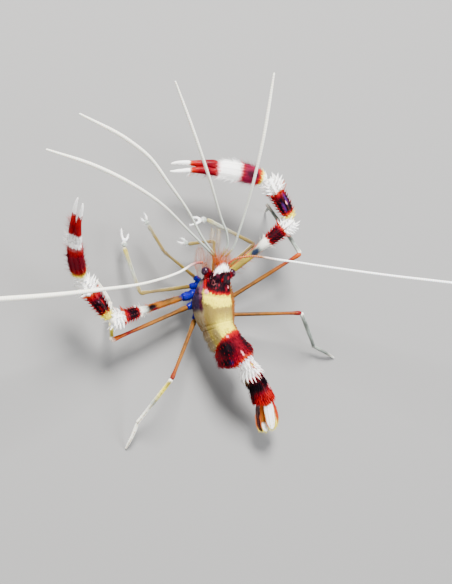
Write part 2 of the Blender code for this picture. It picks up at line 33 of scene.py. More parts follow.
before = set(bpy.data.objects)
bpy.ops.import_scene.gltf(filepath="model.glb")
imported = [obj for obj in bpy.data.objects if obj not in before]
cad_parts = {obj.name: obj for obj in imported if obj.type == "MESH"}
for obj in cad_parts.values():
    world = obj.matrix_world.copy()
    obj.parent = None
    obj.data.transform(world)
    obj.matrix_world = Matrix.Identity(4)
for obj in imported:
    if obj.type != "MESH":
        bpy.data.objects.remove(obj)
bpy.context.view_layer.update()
chance = np.random.default_rng(11)
print("frame loaded:", len(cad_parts), "nodes")

# the beak's tip lies this far ahead of the animal's own origin, and its eyes stand evenly about the middle
beakTip = 10.6
shift = np.array((
    (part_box("eye_left")[1].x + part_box("eye_right")[0].x) * 500,
    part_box("carapace")[0].y * 1000 + beakTip,
    0,
))
sides = dict(left=1, right=-1)


def unit(vectors):
    vectors = np.asarray(vectors, float)
    return vectors / np.linalg.norm(vectors, axis=-1, keepdims=True)


def join(*parts):
    # the parts, spread to one size, as the last axis of one array
    return np.stack(np.broadcast_arrays(*parts), axis=-1)


def paired(u, v):
    return np.broadcast_arrays(np.asarray(u, float), np.asarray(v, float))


def listed(text):
    # rows such as "2.6 snow" or "pink 3.5 3.5 0.8 0.8", parted by commas
    return [[float(word) if word[-1].isdigit() else word for word in row.split()] for row in text.split(",")]


def smooth(place, knots, values):
    # a cubic through the knots, whose slope at each is that of its neighbours
    knots, values, place = (np.asarray(a, float) for a in (knots, values, place))
    slope = np.gradient(values, knots, axis=0)
    span = np.clip(np.searchsorted(knots, place, side="right") - 1, 0, len(knots) - 2)
    gap = knots[span + 1] - knots[span]
    t = np.clip((place - knots[span]) / gap, 0, 1)
    if values.ndim > 1:
        t, gap = t[..., None], gap[..., None]
    near = (1 + 2 * t) * (1 - t) ** 2 * values[span] + t * (1 - t) ** 2 * gap * slope[span]
    return near + t * t * (3 - 2 * t) * values[span + 1] + t * t * (t - 1) * gap * slope[span + 1]


def stations(place, rows):
    # the columns of a table of stations, read at these places
    rows = np.array(rows, float)
    return np.moveaxis(smooth(place, rows[:, 0], rows[:, 1:]), -1, 0)


def step(low, high, x):
    t = np.clip((x - low) / (high - low), 0, 1)
    return t * t * (3 - 2 * t)


def bell(x, middle, width):
    return np.exp(-(((x - middle) / width) ** 2))


def direction(heading, pitch):
    # heading 0 is the way of the head and 90 its left, and the pitch rises, in degrees
    turn, rise = np.radians(heading), np.radians(pitch)
    return join(np.sin(turn) * np.cos(rise), -np.cos(turn) * np.cos(rise), np.sin(rise))


def fullRows(rows):
    # stations of a place, the half width and height, given once where they are alike, and how far aside
    return np.array([(at, *(sizes * 2 if len(sizes) == 1 else sizes), 0)[:4] for at, *sizes in rows])


def barForm(line, girths, length, start=0, ends=(0, 0), relief=None, roll=0):
    # line(u) + (width cos + aside) side + height sin upper, drawn in to a dome over the end lengths given;
    # a roll turns side and upper about the line
    girths = fullRows(girths)
    cosine, sine = math.cos(math.radians(roll)), math.sin(math.radians(roll))

    def read(u, v):
        u, v = paired(u, v)
        width, height, aside = stations(u, girths)
        swell = 1 + relief(u, v) if relief else 1
        for end, along in zip(ends, (u, 1 - u)):
            if end:
                swell = swell * np.sqrt(np.maximum(1 - (1 - np.clip(along * length / end, 0, 1)) ** 2, 0.0064))
        return u, width * swell * np.cos(2 * math.pi * v) + aside, height * swell * np.sin(2 * math.pi * v)

    def form(u, v):
        u, across, high = read(u, v)
        ahead = unit(line(np.minimum(u + 0.004, 1)) - line(np.maximum(u - 0.004, 0)))
        level = unit(np.cross((0, 0, 1), ahead))
        side, upper = across * cosine - high * sine, across * sine + high * cosine
        return line(u) + side[..., None] * level + upper[..., None] * np.cross(ahead, level)

    def rest(u, v):
        u, across, high = read(u, v)
        return join(across, start + u * length, high)
    return dict(form=form, rest=rest)


def straightLine(start, way, begin, end, bow=0):
    # the bow lifts the middle by this share of the length
    rise = np.array((0, 0, 4 * bow * (end - begin)))

    def line(u):
        u = np.asarray(u, float)[..., None]
        return np.asarray(start) + (begin + u * (end - begin)) * way + rise * u * (1 - u)
    return line


def knotsOf(points):
    # how far along its run each point lies
    return np.append(0, np.cumsum(np.linalg.norm(np.diff(points, axis=0), axis=1)))


def curveLine(points):
    points = np.array(points, float)
    knots = knotsOf(points)
    return lambda u: smooth(np.asarray(u, float) * knots[-1], knots, points), knots[-1]


def bentLine(points, rounding, count=5):
    # straight runs whose corners are turned over this distance
    route, t = [points[:1]], np.linspace(0, 1, count)[:, None]
    for before, corner, after in zip(points, points[1:], points[2:]):
        enter, leave = corner + rounding * unit(before - corner), corner + rounding * unit(after - corner)
        route.append((1 - t) ** 2 * enter + 2 * t * (1 - t) * corner + t * t * leave)
    points = np.vstack((*route, points[-1:]))
    knots = knotsOf(points)
    return lambda u: join(*(np.interp(np.asarray(u, float) * knots[-1], knots, axis) for axis in points.T)), knots[-1]


def gridSkin(shape, rows, columns, crowd=0.5, lips=((0, 0), (0, 0))):
    # rings of points along u, closer together at the ends; a lip turns a ring's edge inwards by a share and a depth
    t = np.linspace(0, 1, rows)
    u = (1 - crowd) * t + crowd * (0.5 - 0.5 * np.cos(math.pi * t))
    points, rest = (shape[key](u[:, None], np.arange(columns) / columns) for key in ("form", "rest"))
    for end, inner, beyond, (inset, depth) in ((0, 1, -0.004, lips[0]), (-1, -2, 0.004, lips[1])):
        if inset:
            middle = points[end].mean(axis=0)
            way = unit(points[inner].mean(axis=0) - middle)
            place = -end * len(u)
            points = np.insert(points, place, middle + (points[end] - middle) * (1 - inset) + way * depth, axis=0)
            rest, u = np.insert(rest, place, rest[end], axis=0), np.insert(u, place, u[end] + beyond)
    return dict(points=points, rest=rest, u=u)


def gridFaces(skin, number, count):
    # quads between the rings and a fan to a pole at each end, on this one of so many strips of the UV square
    rows, columns = skin["points"].shape[:2]
    j, i = np.arange(columns), np.arange(rows - 1)[:, None] * columns
    k, last = (j + 1) % columns, (rows - 1) * columns
    points, rest = (np.vstack((grid.reshape(-1, 3), grid[0].mean(axis=0), grid[-1].mean(axis=0)))
                    for grid in (skin["points"], skin["rest"]))
    u, near, far = skin["u"], (j / columns + number) / count, ((j + 1) / columns + number) / count
    corners = ((u[:-1], near), (u[:-1], far), (u[1:], far), (u[1:], near))
    rims = ((u[0], far, near), (u[-1], near, far))
    return dict(
        points=points, rest=rest, tip=np.zeros(len(points)),
        quads=join(i + j, i + k, i + columns + k, i + columns + j).reshape(-1, 4),
        fans=np.vstack((join(k, j, rows * columns), join(last + j, last + k, rows * columns + 1))),
        quadUv=np.stack([join(place[:, None], v) for place, v in corners], axis=2),
        fanUv=np.stack([join(place, join(a, b, (a + b) / 2)) for place, a, b in rims]),
    )


def linked(name, data):
    thing = bpy.data.objects.new(name, data)
    bpy.context.scene.collection.objects.link(thing)
    return thing


def buildPiece(name, packs, paint, nodes=(), uvName="surface"):
    # one object from packs of quads and triangles with a UV at each corner
    bases = np.cumsum([0] + [len(pack["points"]) for pack in packs])
    quads, fans = (np.vstack([pack[key] + base for pack, base in zip(packs, bases)]) for key in ("quads", "fans"))
    points, rest = (np.vstack([pack[key] for pack in packs]) for key in ("points", "rest"))
    tip = np.concatenate([pack["tip"] for pack in packs])
    uv = np.concatenate([pack[key].ravel() for key in ("quadUv", "fanUv") for pack in packs])
    loops = np.concatenate((quads.ravel(), fans.ravel()))
    starts = np.concatenate((np.arange(len(quads)) * 4, len(quads) * 4 + np.arange(len(fans)) * 3))
    mesh = bpy.data.meshes.new(name)
    mesh.vertices.add(len(points))
    mesh.loops.add(len(loops))
    mesh.polygons.add(len(starts))
    mesh.vertices.foreach_set("co", ((points + shift) * 0.001).astype(np.float32).ravel())
    mesh.loops.foreach_set("vertex_index", loops.astype(np.int32))
    mesh.polygons.foreach_set("loop_start", starts.astype(np.int32))
    mesh.update(calc_edges=True)
    mesh.uv_layers.new(name=uvName).data.foreach_set("uv", uv.astype(np.float32))
    mesh.attributes.new("rest", "FLOAT_VECTOR", "POINT").data.foreach_set("vector", rest.astype(np.float32).ravel())
    mesh.attributes.new("tip", "FLOAT", "POINT").data.foreach_set("value", tip.astype(np.float32))
    mesh.shade_smooth()
    mesh.set_sharp_from_angle(angle=math.radians(60))
    mesh.materials.append(paints[paint])
    thing = linked(name, mesh)
    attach(thing, "root")
    if nodes:
        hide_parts(*nodes)


def shellPiece(name, skins, paint, slotName, *nodes):
    buildPiece(name, [gridFaces(skin, number, len(skins)) for number, skin in enumerate(skins)], paint, nodes)


def coatPiece(name, batches, paint):
    # many small spikes as one mesh, each a patch of the OFBake map at its root's place
    buildPiece(name, batches, paint, uvName="OFBake")


def spikes(roots, ways, lengths, girths, rest, uv, corners=5, curl=0):
    # cones: rings round each root's way, drawn in to a tip and curled along curl
    share, drawn = np.array(((-0.12, 0.4, 0.78), (1, 0.62, 0.3)))
    count, ways = len(roots), unit(ways)
    lengths, girths = (np.broadcast_to(a, count)[:, None] for a in (lengths, girths))
    curl = np.broadcast_to(curl, ways.shape)
    aside = unit(np.cross(ways, np.where(np.abs(ways[:, 2:]) < 0.9, (0, 0, 1), (1, 0, 0))))
    along = share[:, None] * ways[:, None] + share[:, None] ** 2 * curl[:, None]
    centre = roots[:, None] + lengths[:, None] * along
    turn = 2 * math.pi * np.arange(corners) / corners
    circle = join(np.cos(turn), np.sin(turn))
    around = circle @ np.stack((aside, np.cross(ways, aside)), axis=1)
    rings = centre[:, :, None] + (girths * drawn)[..., None, None] * around[:, None]
    tips, feet = roots + lengths * (ways + curl), roots - 0.12 * lengths * ways
    points = np.concatenate((rings.reshape(count, -1, 3), tips[:, None], feet[:, None]), axis=1)
    size = points.shape[1]
    j, r = np.arange(corners), np.arange(len(share) - 1)[:, None] * corners
    k, top = (j + 1) % corners, (len(share) - 1) * corners
    base = (np.arange(count) * size)[:, None, None]
    quads = (base + join(r + j, r + k, r + corners + k, r + corners + j).reshape(-1, 4)).reshape(-1, 4)
    fans = (base + np.vstack((join(top + j, top + k, size - 2), join(k, j, size - 1)))).reshape(-1, 3)
    patch = np.vstack(((drawn[:, None, None] * circle).reshape(-1, 2), np.zeros((2, 2)))) * 0.0015
    uv = (uv[:, None] + patch).reshape(-1, 2)
    return dict(
        points=points.reshape(-1, 3), quads=quads, fans=fans, rest=np.repeat(rest, size, axis=0),
        tip=np.tile(np.append(np.repeat(np.clip(share, 0, 1), corners), (1, 0)), count),
        quadUv=uv[quads], fanUv=uv[fans],
    )


def outward(shape, u, v, small=0.003):
    # the skin's normal and its way along u
    form = shape["form"]
    along = form(np.minimum(u + small, 1), v) - form(np.maximum(u - small, 0), v)
    return unit(np.cross(form(u, v + small) - form(u, v - small), along)), unit(along)


def grow(batches, shape, u, v, length, girth, lean, tile=(0, 1), spread=0.15, corners=5, curl=0):
    # spikes on a shape at these places, leaning along it, each a little different
    u, v = paired(u, v)
    normal, along = outward(shape, u, v)
    ways = normal + np.broadcast_to(lean, u.shape)[..., None] * along + spread * chance.normal(size=normal.shape)
    uv = join(np.clip(u, 0.004, 0.996), (v % 1 * 0.99 + 0.005 + tile[0]) / tile[1])
    length = length * chance.uniform(0.75, 1.2, u.shape)
    batches.append(spikes(shape["form"](u, v), ways, length, girth, shape["rest"](u, v), uv, corners, curl * along))


def scatter(rows, columns, uRange, vRange, jitter=0.35):
    # a staggered grid of places, each moved a little
    i, j = np.divmod(np.arange(rows * columns), columns)
    u = (i + 0.5 + jitter * chance.uniform(-1, 1, i.shape)) / rows
    v = (j + 0.5 * (i % 2) + 0.25 + jitter * chance.uniform(-1, 1, i.shape)) / columns
    return uRange[0] + u * (uRange[1] - uRange[0]), vRange[0] + v * (vRange[1] - vRange[0])


class Wire:
    # a socket, on which each operator adds a Math node
    def __init__(self, paint, socket):
        self.paint, self.socket = paint, socket

    def math(self, operation, *others):
        return self.paint.node("Math", dict(operation=operation), dict(enumerate((self, *others))))

    def __rsub__(self, other):
        return self.paint.node("Math", dict(operation="SUBTRACT"), {0: other, 1: self})

    def __abs__(self):
        return self.math("ABSOLUTE")

    __add__ = __radd__ = lambda self, other: self.math("ADD", other)
    __mul__ = __rmul__ = lambda self, other: self.math("MULTIPLY", other)
    __sub__ = lambda self, other: self.math("SUBTRACT", other)
    __truediv__ = lambda self, other: self.math("DIVIDE", other)


class Paint:
    # one material; node() makes any node from its kind, its settings and what its sockets hold
    def __init__(self, name):
        self.material = bpy.data.materials.new(name)
        self.material.use_nodes = True
        self.tree = self.material.node_tree
        self.rest = self.node("Attribute", dict(attribute_name="rest"), output="Vector")
        parts = self.node("SeparateXYZ", values={0: self.rest}).socket.node.outputs
        self.across, self.along, self.high = (Wire(self, part) for part in parts)
        self.tip = self.node("Attribute", dict(attribute_name="tip"), output="Fac")

    def node(self, kind, settings=None, values=None, output=0):
        fresh = self.tree.nodes.new("ShaderNode" + kind)
        for key, value in (settings or {}).items():
            if key == "stops":
                spots = fresh.color_ramp.elements
                for spot, (place, colour) in ((spots[1], value[-1]), (spots[0], value[0])):
                    spot.position, spot.color = place, (*colour, 1)
                for place, colour in value[1:-1]:
                    spots.new(place).color = (*colour, 1)
            else:
                setattr(fresh, key, value)
        self.fill(fresh, values or {})
        return Wire(self, fresh.outputs[output])

    def fill(self, node, values):
        for key, value in values.items():
            if isinstance(value, Wire):
                self.tree.links.new(value.socket, node.inputs[key])
            else:
                node.inputs[key].default_value = value

    def noise(self, scale, detail=3, vector=None):
        # noise about 0, from -0.5 to 0.5
        return self.node("TexNoise", None, {
            "Vector": vector or self.rest, "Scale": scale, "Detail": detail, "Roughness": 0.6}) - 0.5

    def streaks(self, across, along):
        # noise drawn out lengthwise
        drawn = self.node("VectorMath", dict(operation="MULTIPLY"), {0: self.rest, 1: (across, along, across)})
        return self.noise(1, 2, drawn)

    def cells(self, scale):
        return self.node("TexVoronoi", None, {"Vector": self.rest, "Scale": scale})

    def ease(self, value, low, high):
        # 0 below low and 1 above high, or the other way round
        return self.node("MapRange", dict(interpolation_type="SMOOTHSTEP"), {0: value, 1: low, 2: high})

    def spot(self, value, middle, reach):
        # 1 at the middle, 0 at this reach either side
        return self.ease(abs(value - middle), reach, 0)

    def mix(self, share, first, second, blend="MIX"):
        # each colour is a wire, a name or its red, green and blue
        first, second = (c if isinstance(c, Wire) else (*colours.get(c, c), 1) for c in (first, second))
        return self.node("Mix", dict(data_type="RGBA", blend_type=blend), {0: share, 6: first, 7: second}, 2)

    def bands(self, place, *tables):
        # each table is a ramp over its own stretch, and the next takes over where it starts
        colour = None
        for rows in map(listed, tables):
            first, last = rows[0][0], rows[-1][0]
            stops = [((at - first) / (last - first), colours[name]) for at, name in rows]
            ramp = self.node("ValToRGB", dict(stops=stops), {0: (place - first) / (last - first)})
            colour = self.mix(self.ease(place, first, first + 0.02), colour, ramp) if colour else ramp
        return colour

    def dull(self, grain):
        # a roughness that wanders from 0.4 to 0.6
        return self.ease(grain, -0.3, 0.3) * 0.2 + 0.4

    def edge(self):
        # 0 along the middle and 1 at both edges
        return abs(self.across) / (abs(self.across) + abs(self.high) + 0.01)

    def chart(self, around, along):
        return self.node("CombineXYZ", None, {0: around, 1: along})

    def away(self, chart, along, around, reachAlong=1, reachAround=1):
        # distance on the chart from a point, in these reaches
        offset = self.node("VectorMath", dict(operation="MULTIPLY_ADD"), {
            0: chart, 1: (1 / reachAround, 1 / reachAlong, 0), 2: (-around / reachAround, -along / reachAlong, 0)})
        return self.node("VectorMath", dict(operation="LENGTH"), {0: offset}, "Value")

    def marks(self, colour, chart, rows):
        # patches of colour with eased rims: colour, along, around, reach along, reach around
        for name, *place in listed(rows):
            colour = self.mix(self.ease(self.away(chart, *place), 1.5, 0.5), colour, name)
        return colour

    def rings(self, colour, chart, rows):
        # thin rings of colour: colour, along, around, radius, half width
        for name, along, around, radius, width in listed(rows):
            colour = self.mix(self.spot(self.away(chart, along, around), radius, width) * 0.45, colour, name)
        return colour

    def finish(self, colour, roughness, coat, relief, depth, **fixed):
        # relief is the bump's height, and depth what it stands for in millimetres
        values = {"Base Color": colour, "Roughness": roughness, "Coat Weight": coat, "Coat Roughness": 0.12,
                  "IOR": 1.45, "Specular IOR Level": 0.04, "Subsurface Scale": 0.0008,
                  "Subsurface Radius": (1, 0.5, 0.3)}
        values.update({key.replace("_", " ").title(): value for key, value in fixed.items() if value is not None})
        values["Normal"] = self.node("Bump", None, {"Height": relief, "Distance": depth * 0.001, "Strength": 0.8})
        self.fill(self.tree.nodes["Principled BSDF"], values)
        return self.material


colours = dict(
    snow=(0.95, 0.945, 0.93), milk=(0.86, 0.84, 0.74), lilac=(0.43, 0.396, 0.533), cream=(0.8, 0.69, 0.045),
    straw=(0.361, 0.292, 0.03), khaki=(0.205, 0.15, 0.034), haze=(0.125, 0.09, 0.04), bark=(0.053, 0.029, 0.0129),
    scarlet=(0.31, 0, 0.0009), ruby=(0.206, 0.0009, 0.0043), crimson=(0.129, 0.0009, 0.0077),
    blood=(0.053, 0.0013, 0.0039), wine=(0.021, 0.0009, 0.0039), ink=(0.0039, 0.0009, 0.003),
    orange=(0.37, 0.057, 0.0034), amber=(0.24, 0.078, 0.008), tan=(0.14, 0.06, 0.012), violet=(0.0155, 0.009, 0.026),
    mauve=(0.12, 0.047, 0.082), plum=(0.032, 0.003, 0.0112), mist=(0.103, 0.116, 0.103), blue=(0.0022, 0.003, 0.2),
    navy=(0.006, 0.0026, 0.043), teal=(0.011, 0.018, 0.04), grey=(0.292, 0.327, 0.292), rose=(0.344, 0.095, 0.103),
    pink=(0.8, 0.28, 0.32), raspberry=(0.165, 0.005, 0.03), dune=(0.21, 0.165, 0.09),
    # a violet for painted glints on dark shell
    gleam=(0.041, 0.0077, 0.079),
)


def bodyPaint():
    # bands run by distance behind the beak's tip; patches lie on a chart of that distance and of the way round
    # from the middle of the back, left positive; every border is ragged
    look = dict(
        ragged=1.3, fine=0.8, spiky=1.9,
        bow=(0.033, -0.055),  # how far the borders curve with the way round: on the head, and the change behind it
        head="0 orange, 0.7 rose, 1.1 snow, 2.6 snow, 2.85 blood, 3.3 ink, 8.4 ink, 8.9 blood, 9.25 ruby, 9.6 scarlet, "
             "9.85 orange, 10.1 cream, 12.9 cream, 13.5 khaki, 14.4 khaki, 16.2 straw, 17.6 cream, 20.3 cream, "
             "20.75 orange, 21 scarlet, 21.9 ruby, 22.6 crimson",
        hind="22.6 crimson, 28.1 crimson, 28.8 ruby, 29.3 scarlet, 29.6 orange, 29.9 lilac, 30.7 snow, 35.3 snow, "
             "36.1 pink, 36.35 scarlet, 37.2 blood, 38 ink, 40.9 ink, 41.6 blood, 42.3 crimson, 43.4 scarlet, "
             "45.5 scarlet, 46.4 ruby",
        patches="pink 3.5 3.5 0.8 0.8, scarlet 6 7.2 2.6 0.8, pink 8.8 6.2 0.7 0.9, ruby 5.3 0.1 0.5 0.3, "
                "crimson 8 -1.5 0.6 0.4, crimson 6.9 1.1 0.35 0.3, crimson 7.8 2.2 0.3 0.35, "
                "crimson 4.6 -1.8 0.45 0.35, plum 4.1 1.4 0.6 0.5, crimson 5.1 5.6 0.9 0.5, pink 7.2 -2.5 0.5 0.22, "
                # the mist patch at 19.7 4.8, low on the left of the first rings, is partly the shell's translucent grey
                # and partly painted shade
                "mist 19.7 4.8 1.6 1.3, pink 21.35 1.3 0.35 0.45, ink 24.3 4.6 2.7 3.9, ink 27.8 8.2 1.3 3.2, "
                # the ink patch at 27.8 8.2 on the row above and the navy one at 28.4 5.8, low on the left of the third
                # ring's rear, are painted shade; the pink spot at 27.8 0.25 on the middle of its back is a painted
                # highlight
                "navy 28.4 5.8 0.7 0.9, ink 26 -4.8 3.9 2.7, pink 27.8 0.25 0.8 0.3, orange 28.9 0 0.4 0.4, "
                "orange 32.3 -0.4 1.4 0.6, cream 32.3 -0.4 0.7 0.25, amber 36.7 -0.5 0.7 0.6, haze 37 5.8 1.2 1.5, "
                # the ink patch at 43.2 6.2, on the left of the last ring, is painted shadow
                "ink 43.2 6.2 2.8 1.5, pink 42.3 -3.6 0.8 0.8, blood 39.8 0 1.4 0.25",
        eyespots="rose 6.2 3 0.7 0.3, ink 24.3 -1.2 0.42 0.22, ink 25.6 -1.3 0.4 0.2, ink 27.1 -1.2 0.4 0.2, "
                 "ink 28.4 -1.3 0.35 0.2, crimson 43.9 1.6 0.5 0.25",
        flank="mauve 7.2 9 2.8 1.1, plum 12 8.8 1.7 0.9, mist 5.5 10.5 1.5 2",
    )
    paint = Paint("bandedBody")
    broad, fine, hairs = paint.noise(0.7), paint.noise(2.6, 2), paint.streaks(3.6, 0.8)
    around = paint.across.math("SIGN") * (abs(paint.across) + (paint.high * -1).math("MAXIMUM", 0))
    raggedness = broad * look["ragged"] + fine * look["fine"] + hairs * look["spiky"]
    bow = around * around * (paint.ease(paint.along, 12, 17) * look["bow"][1] + look["bow"][0])
    cheek = around.math("MAXIMUM", 0) * paint.ease(paint.along, 6, 4)
    place = paint.along + raggedness + bow - cheek * 0.55 - paint.tip * 0.2
    colour = paint.bands(place, look["head"], look["hind"])
    chart = paint.chart(around + fine * 0.9, paint.along + raggedness * 0.5)

    # dark blotches in the red, then the patches, and red threads through all that is black
    reds = paint.ease(paint.spot(paint.along, 25.4, 4.4) + paint.spot(paint.along, 43.2, 3.4), 0.1, 0.4)
    colour = paint.mix(paint.ease(paint.noise(1.5), 0, 0.08) * reds * 0.75, colour, "blood")
    colour = paint.marks(colour, chart, look["patches"])
    colour = paint.rings(colour, chart, look["eyespots"])

    # behind the cream saddle only the middle stays bright, under a brownish haze
    veil = paint.ease(abs(around) + broad * 3.5 + fine * 1.5, 1.4, 4.6)
    veil = veil * paint.ease(place, 12.6, 14.6) * paint.ease(place, 20.9, 20.4)
    colour = paint.mix(veil * 0.85, colour, "khaki")
    colour = paint.mix(veil * paint.ease(around + broad * 2, 3, 6.5) * 0.35, colour, "haze")
    inBand = paint.spot(paint.along, 6.2, 4.2) + paint.spot(paint.along, 38.8, 2.4)
    patches = paint.spot(paint.along, 26, 4.5)
    threads = paint.ease(paint.streaks(2.2, 1.1), 0.1, 0.2) * paint.ease(inBand + patches, 0.1, 0.5)
    colour = paint.mix(threads * paint.ease(paint.along, 33, 31) * 0.5, colour, "crimson")

    # the chest's left side is violet with paler dots, its right tan, and both fade to straw behind
    skin = paint.mix(paint.ease(paint.along, 12.6, 14.6), "violet", "dune")
    skin = paint.marks(skin, chart, look["flank"])
    skin = paint.mix(paint.ease(paint.cells(2.6), 0.3, 0.1) * 0.5, skin, "mauve")
    low = paint.ease(around + broad * 2.4 + fine * 1.2, 7.1, 8.6) * paint.ease(place, 21, 20.4)
    colour = paint.mix(low, colour, skin)
    tanned = paint.mix(paint.ease(paint.along, 9, 10.5), "tan", "amber")
    tanned = paint.mix(paint.ease(hairs, -0.05, 0.1) * 0.6, tanned, "bark")
    colour = paint.mix(paint.ease(around + broad * 1.8, -3.2, -4.8) * paint.ease(place, 20.9, 20), colour, tanned)
    streaky = paint.ease(paint.streaks(1.6, 0.5), 0, 0.12) * paint.ease(abs(around), 4.5, 7)
    colour = paint.mix(streaky * paint.spot(paint.along, 17.6, 4) * 0.8, colour, "tan")

    # spines in the dark bands are red to their tips, and those on the white stay white
    dark = paint.ease(inBand + patches + paint.spot(paint.along, 43.5, 3), 0.05, 0.3)
    redTip = paint.ease(paint.noise(1.6), 0, 0.06) * 0.35 + reds * 0.14 + 0.04
    redTip = redTip * paint.ease(paint.spot(paint.along, 39.6, 2.2), 0.5, 0.1)
    colour = paint.mix(paint.ease(paint.tip, 0.05, 0.5) * dark * redTip, colour, "scarlet")
    colour = paint.mix(paint.ease(paint.noise(5), -0.08, 0.12) * 0.5, colour, (0.72, 0.66, 0.58), "MULTIPLY")
    grain = paint.noise(7, 2) + paint.cells(3.2) * 0.6 + hairs * 0.6
    return paint.finish(colour, paint.dull(fine), 0.03, grain, 0.05, subsurface_weight=0.08)


clawLooks = dict(
    left=dict(
        near="0 blue, 6 blue, 6.5 bark, 8 haze, 11 tan, 14.5 amber, 15.5 amber, 17.8 amber, 18.8 grey, 21.5 milk, "
             "21.9 scarlet, 22.5 blood, 23 ink, 25.5 ink, 26.2 crimson, 26.9 scarlet, 27.4 orange, 27.7 snow, "
             "31.6 snow, 32.2 cream, 34.2 cream, 34.6 scarlet, 35.2 blood, 35.7 ink, 39 ink, 39.8 crimson, 41 scarlet, "
             "41.5 orange, 41.8 snow, 45.5 snow",
        far="45.5 snow, 48.3 snow, 49.4 cream, 50.4 orange, 51 scarlet, 53 crimson, 57 crimson, 59 scarlet, 60.3 rose, "
            "60.8 snow, 64.5 snow, 65.2 scarlet, 67 ruby, 70.6 scarlet, 71.2 rose, 71.5 snow, 76 snow",
        # the bark patch at 11 -1, along the arm's lower edge, is painted shadow
        patches="ink 17.2 0 1.7 0.8, crimson 16.2 0.8 1.1 0.35, bark 11 -1 3.2 0.5, amber 8.6 0.4 2 0.6, "
                "ruby 37.8 -0.6 0.9 0.22, ruby 36.6 0.9 0.8 0.2, mauve 38.6 0.4 0.5 0.2, plum 55 0.4 2.2 0.8, "
                "blood 67.8 2.2 1 0.4",
        dark=((22, 27.2), (34.7, 41.3)),
    ),
    right=dict(
        near="0 blue, 6 blue, 6.5 khaki, 8 straw, 12 khaki, 15.4 straw, 18.2 grey, 21.6 milk, 21.9 scarlet, "
             "22.5 blood, 23 ink, 26 ink, 26.5 crimson, 27.1 scarlet, 27.5 orange, 27.8 snow, 31.5 snow, 32 cream, "
             "33.8 cream, 34.1 orange, 34.5 scarlet, 35.1 blood, 35.7 ink, 39.6 ink, 40.3 crimson, 41.2 scarlet, "
             "41.6 orange, 41.9 snow, 45.5 snow",
        far="45.5 snow, 47.9 snow, 48.5 cream, 49 orange, 49.5 scarlet, 50.6 raspberry, 53.4 raspberry, 54.3 ruby, "
            "54.9 pink, 55.4 snow, 61 snow, 61.5 pink, 61.9 rose, 62.4 ruby, 64.5 crimson, 67 ruby, 69.2 scarlet, "
            "69.8 orange, 70.1 snow, 76 snow",
        # the two violet streaks and the pink spot between them on the wrist's black band (36.8 to 38.8) are painted
        # highlights
        patches="teal 16.8 0 1.7 1, gleam 36.8 1.1 1.5 0.4, gleam 38.8 -0.6 1.7 0.35, pink 37.7 -0.1 0.6 0.2, "
                "plum 51.5 0.4 2 1.2, wine 24.5 0.3 1.2 0.7",
        dark=((22, 27.2), (34.2, 41.4)),
    ),
)


def clawPaint(side):
    # distance runs on from the leg's root over the arm, wrist and palm to the fingers' tips; patches lie on a chart
    # of that distance and the way across
    look = clawLooks[side]
    paint = Paint("bandedClaw" + side.title())
    broad, fine, hairs, edge = paint.noise(0.8), paint.noise(2.8, 2), paint.streaks(3.4, 0.7), paint.edge()
    raggedness = broad * 0.9 + fine * 0.9 + hairs * 2
    colour = paint.bands(paint.along + raggedness - paint.tip * 0.2, look["near"], look["far"])
    upperArm = paint.ease(paint.along, 20.5, 18) * paint.ease(paint.along, 6, 7.5)
    colour = paint.mix(paint.ease(edge + fine * 0.7, 0.5, 0.8) * upperArm, colour, "orange")
    chart = paint.chart(paint.across + fine * 0.7, paint.along + raggedness * 0.4)
    colour = paint.mix(paint.ease(paint.high, -0.2, 0.3), colour, paint.marks(colour, chart, look["patches"]))
    dark = sum(paint.spot(paint.along, (start + stop) / 2, (stop - start) / 2 + 0.5) for start, stop in look["dark"])
    rim = paint.ease(edge + broad * 0.6 + fine * 0.5, 0.72, 0.9) * paint.ease(dark, 0.05, 0.3)
    colour = paint.mix(rim * 0.9, colour, "ruby")
    threads = paint.ease(paint.streaks(2.4, 0.5), 0.09, 0.18) * paint.ease(dark, 0.3, 0.6)
    colour = paint.mix(threads * 0.6, colour, "crimson")
    palmReds = paint.ease(paint.spot(paint.along, 53, 4.5) + paint.spot(paint.along, 65, 5), 0.05, 0.5)
    colour = paint.mix(paint.ease(paint.streaks(4.5, 0.25), 0, 0.1) * palmReds * 0.45, colour, "plum")
    colour = paint.mix(paint.ease(paint.noise(2.2), 0, 0.12) * palmReds * 0.4, colour, "blood")
    core = paint.ease(dark, 0.25, 0.7) * paint.ease(edge, 0.8, 0.5) * 0.75
    redTip = paint.ease(paint.tip, 0.05, 0.5) * paint.ease(dark, 0.03, 0.2) * (1 - core)
    colour = paint.mix(redTip, colour, "scarlet")
    colour = paint.mix(paint.ease(paint.noise(5), -0.05, 0.15) * 0.4, colour, (0.76, 0.7, 0.62), "MULTIPLY")
    grain = paint.noise(6, 2) + paint.cells(2.6) * 0.6 + hairs * 0.7
    return paint.finish(colour, paint.dull(fine), 0.04, grain, 0.06, subsurface_weight=0.06)


def limbPaint(name, bands, edgeName, edgeShare, coreName=None, alpha=None):
    # bands by distance from the root, a second colour down both edges, a third along the core and faint rings
    paint = Paint(name)
    broad, fine, edge = paint.noise(0.6), paint.noise(3, 2), paint.edge()
    colour = paint.bands(paint.along + broad * 2.4 + fine * 0.8, bands)
    if coreName:
        core = paint.ease(edge + fine * 0.5, 0.35, 0.1) * paint.ease(broad, -0.15, 0.05)
        colour = paint.mix(core * 0.7, colour, coreName)
    colour = paint.mix(paint.ease(edge + broad * 0.7, 0.5, 0.85) * edgeShare, colour, edgeName)
    if alpha:
        alpha = paint.ease(paint.tip, 0, 0.3) * 0.5 + paint.ease(paint.streaks(3, 0.3), -0.1, 0.1) * alpha[1] + alpha[0]
    relief = paint.noise(6) + (paint.along * 5.2).math("SINE") * 0.4
    return paint.finish(colour, paint.dull(fine), 0.03, relief, 0.03, alpha=alpha, subsurface_weight=0.15)


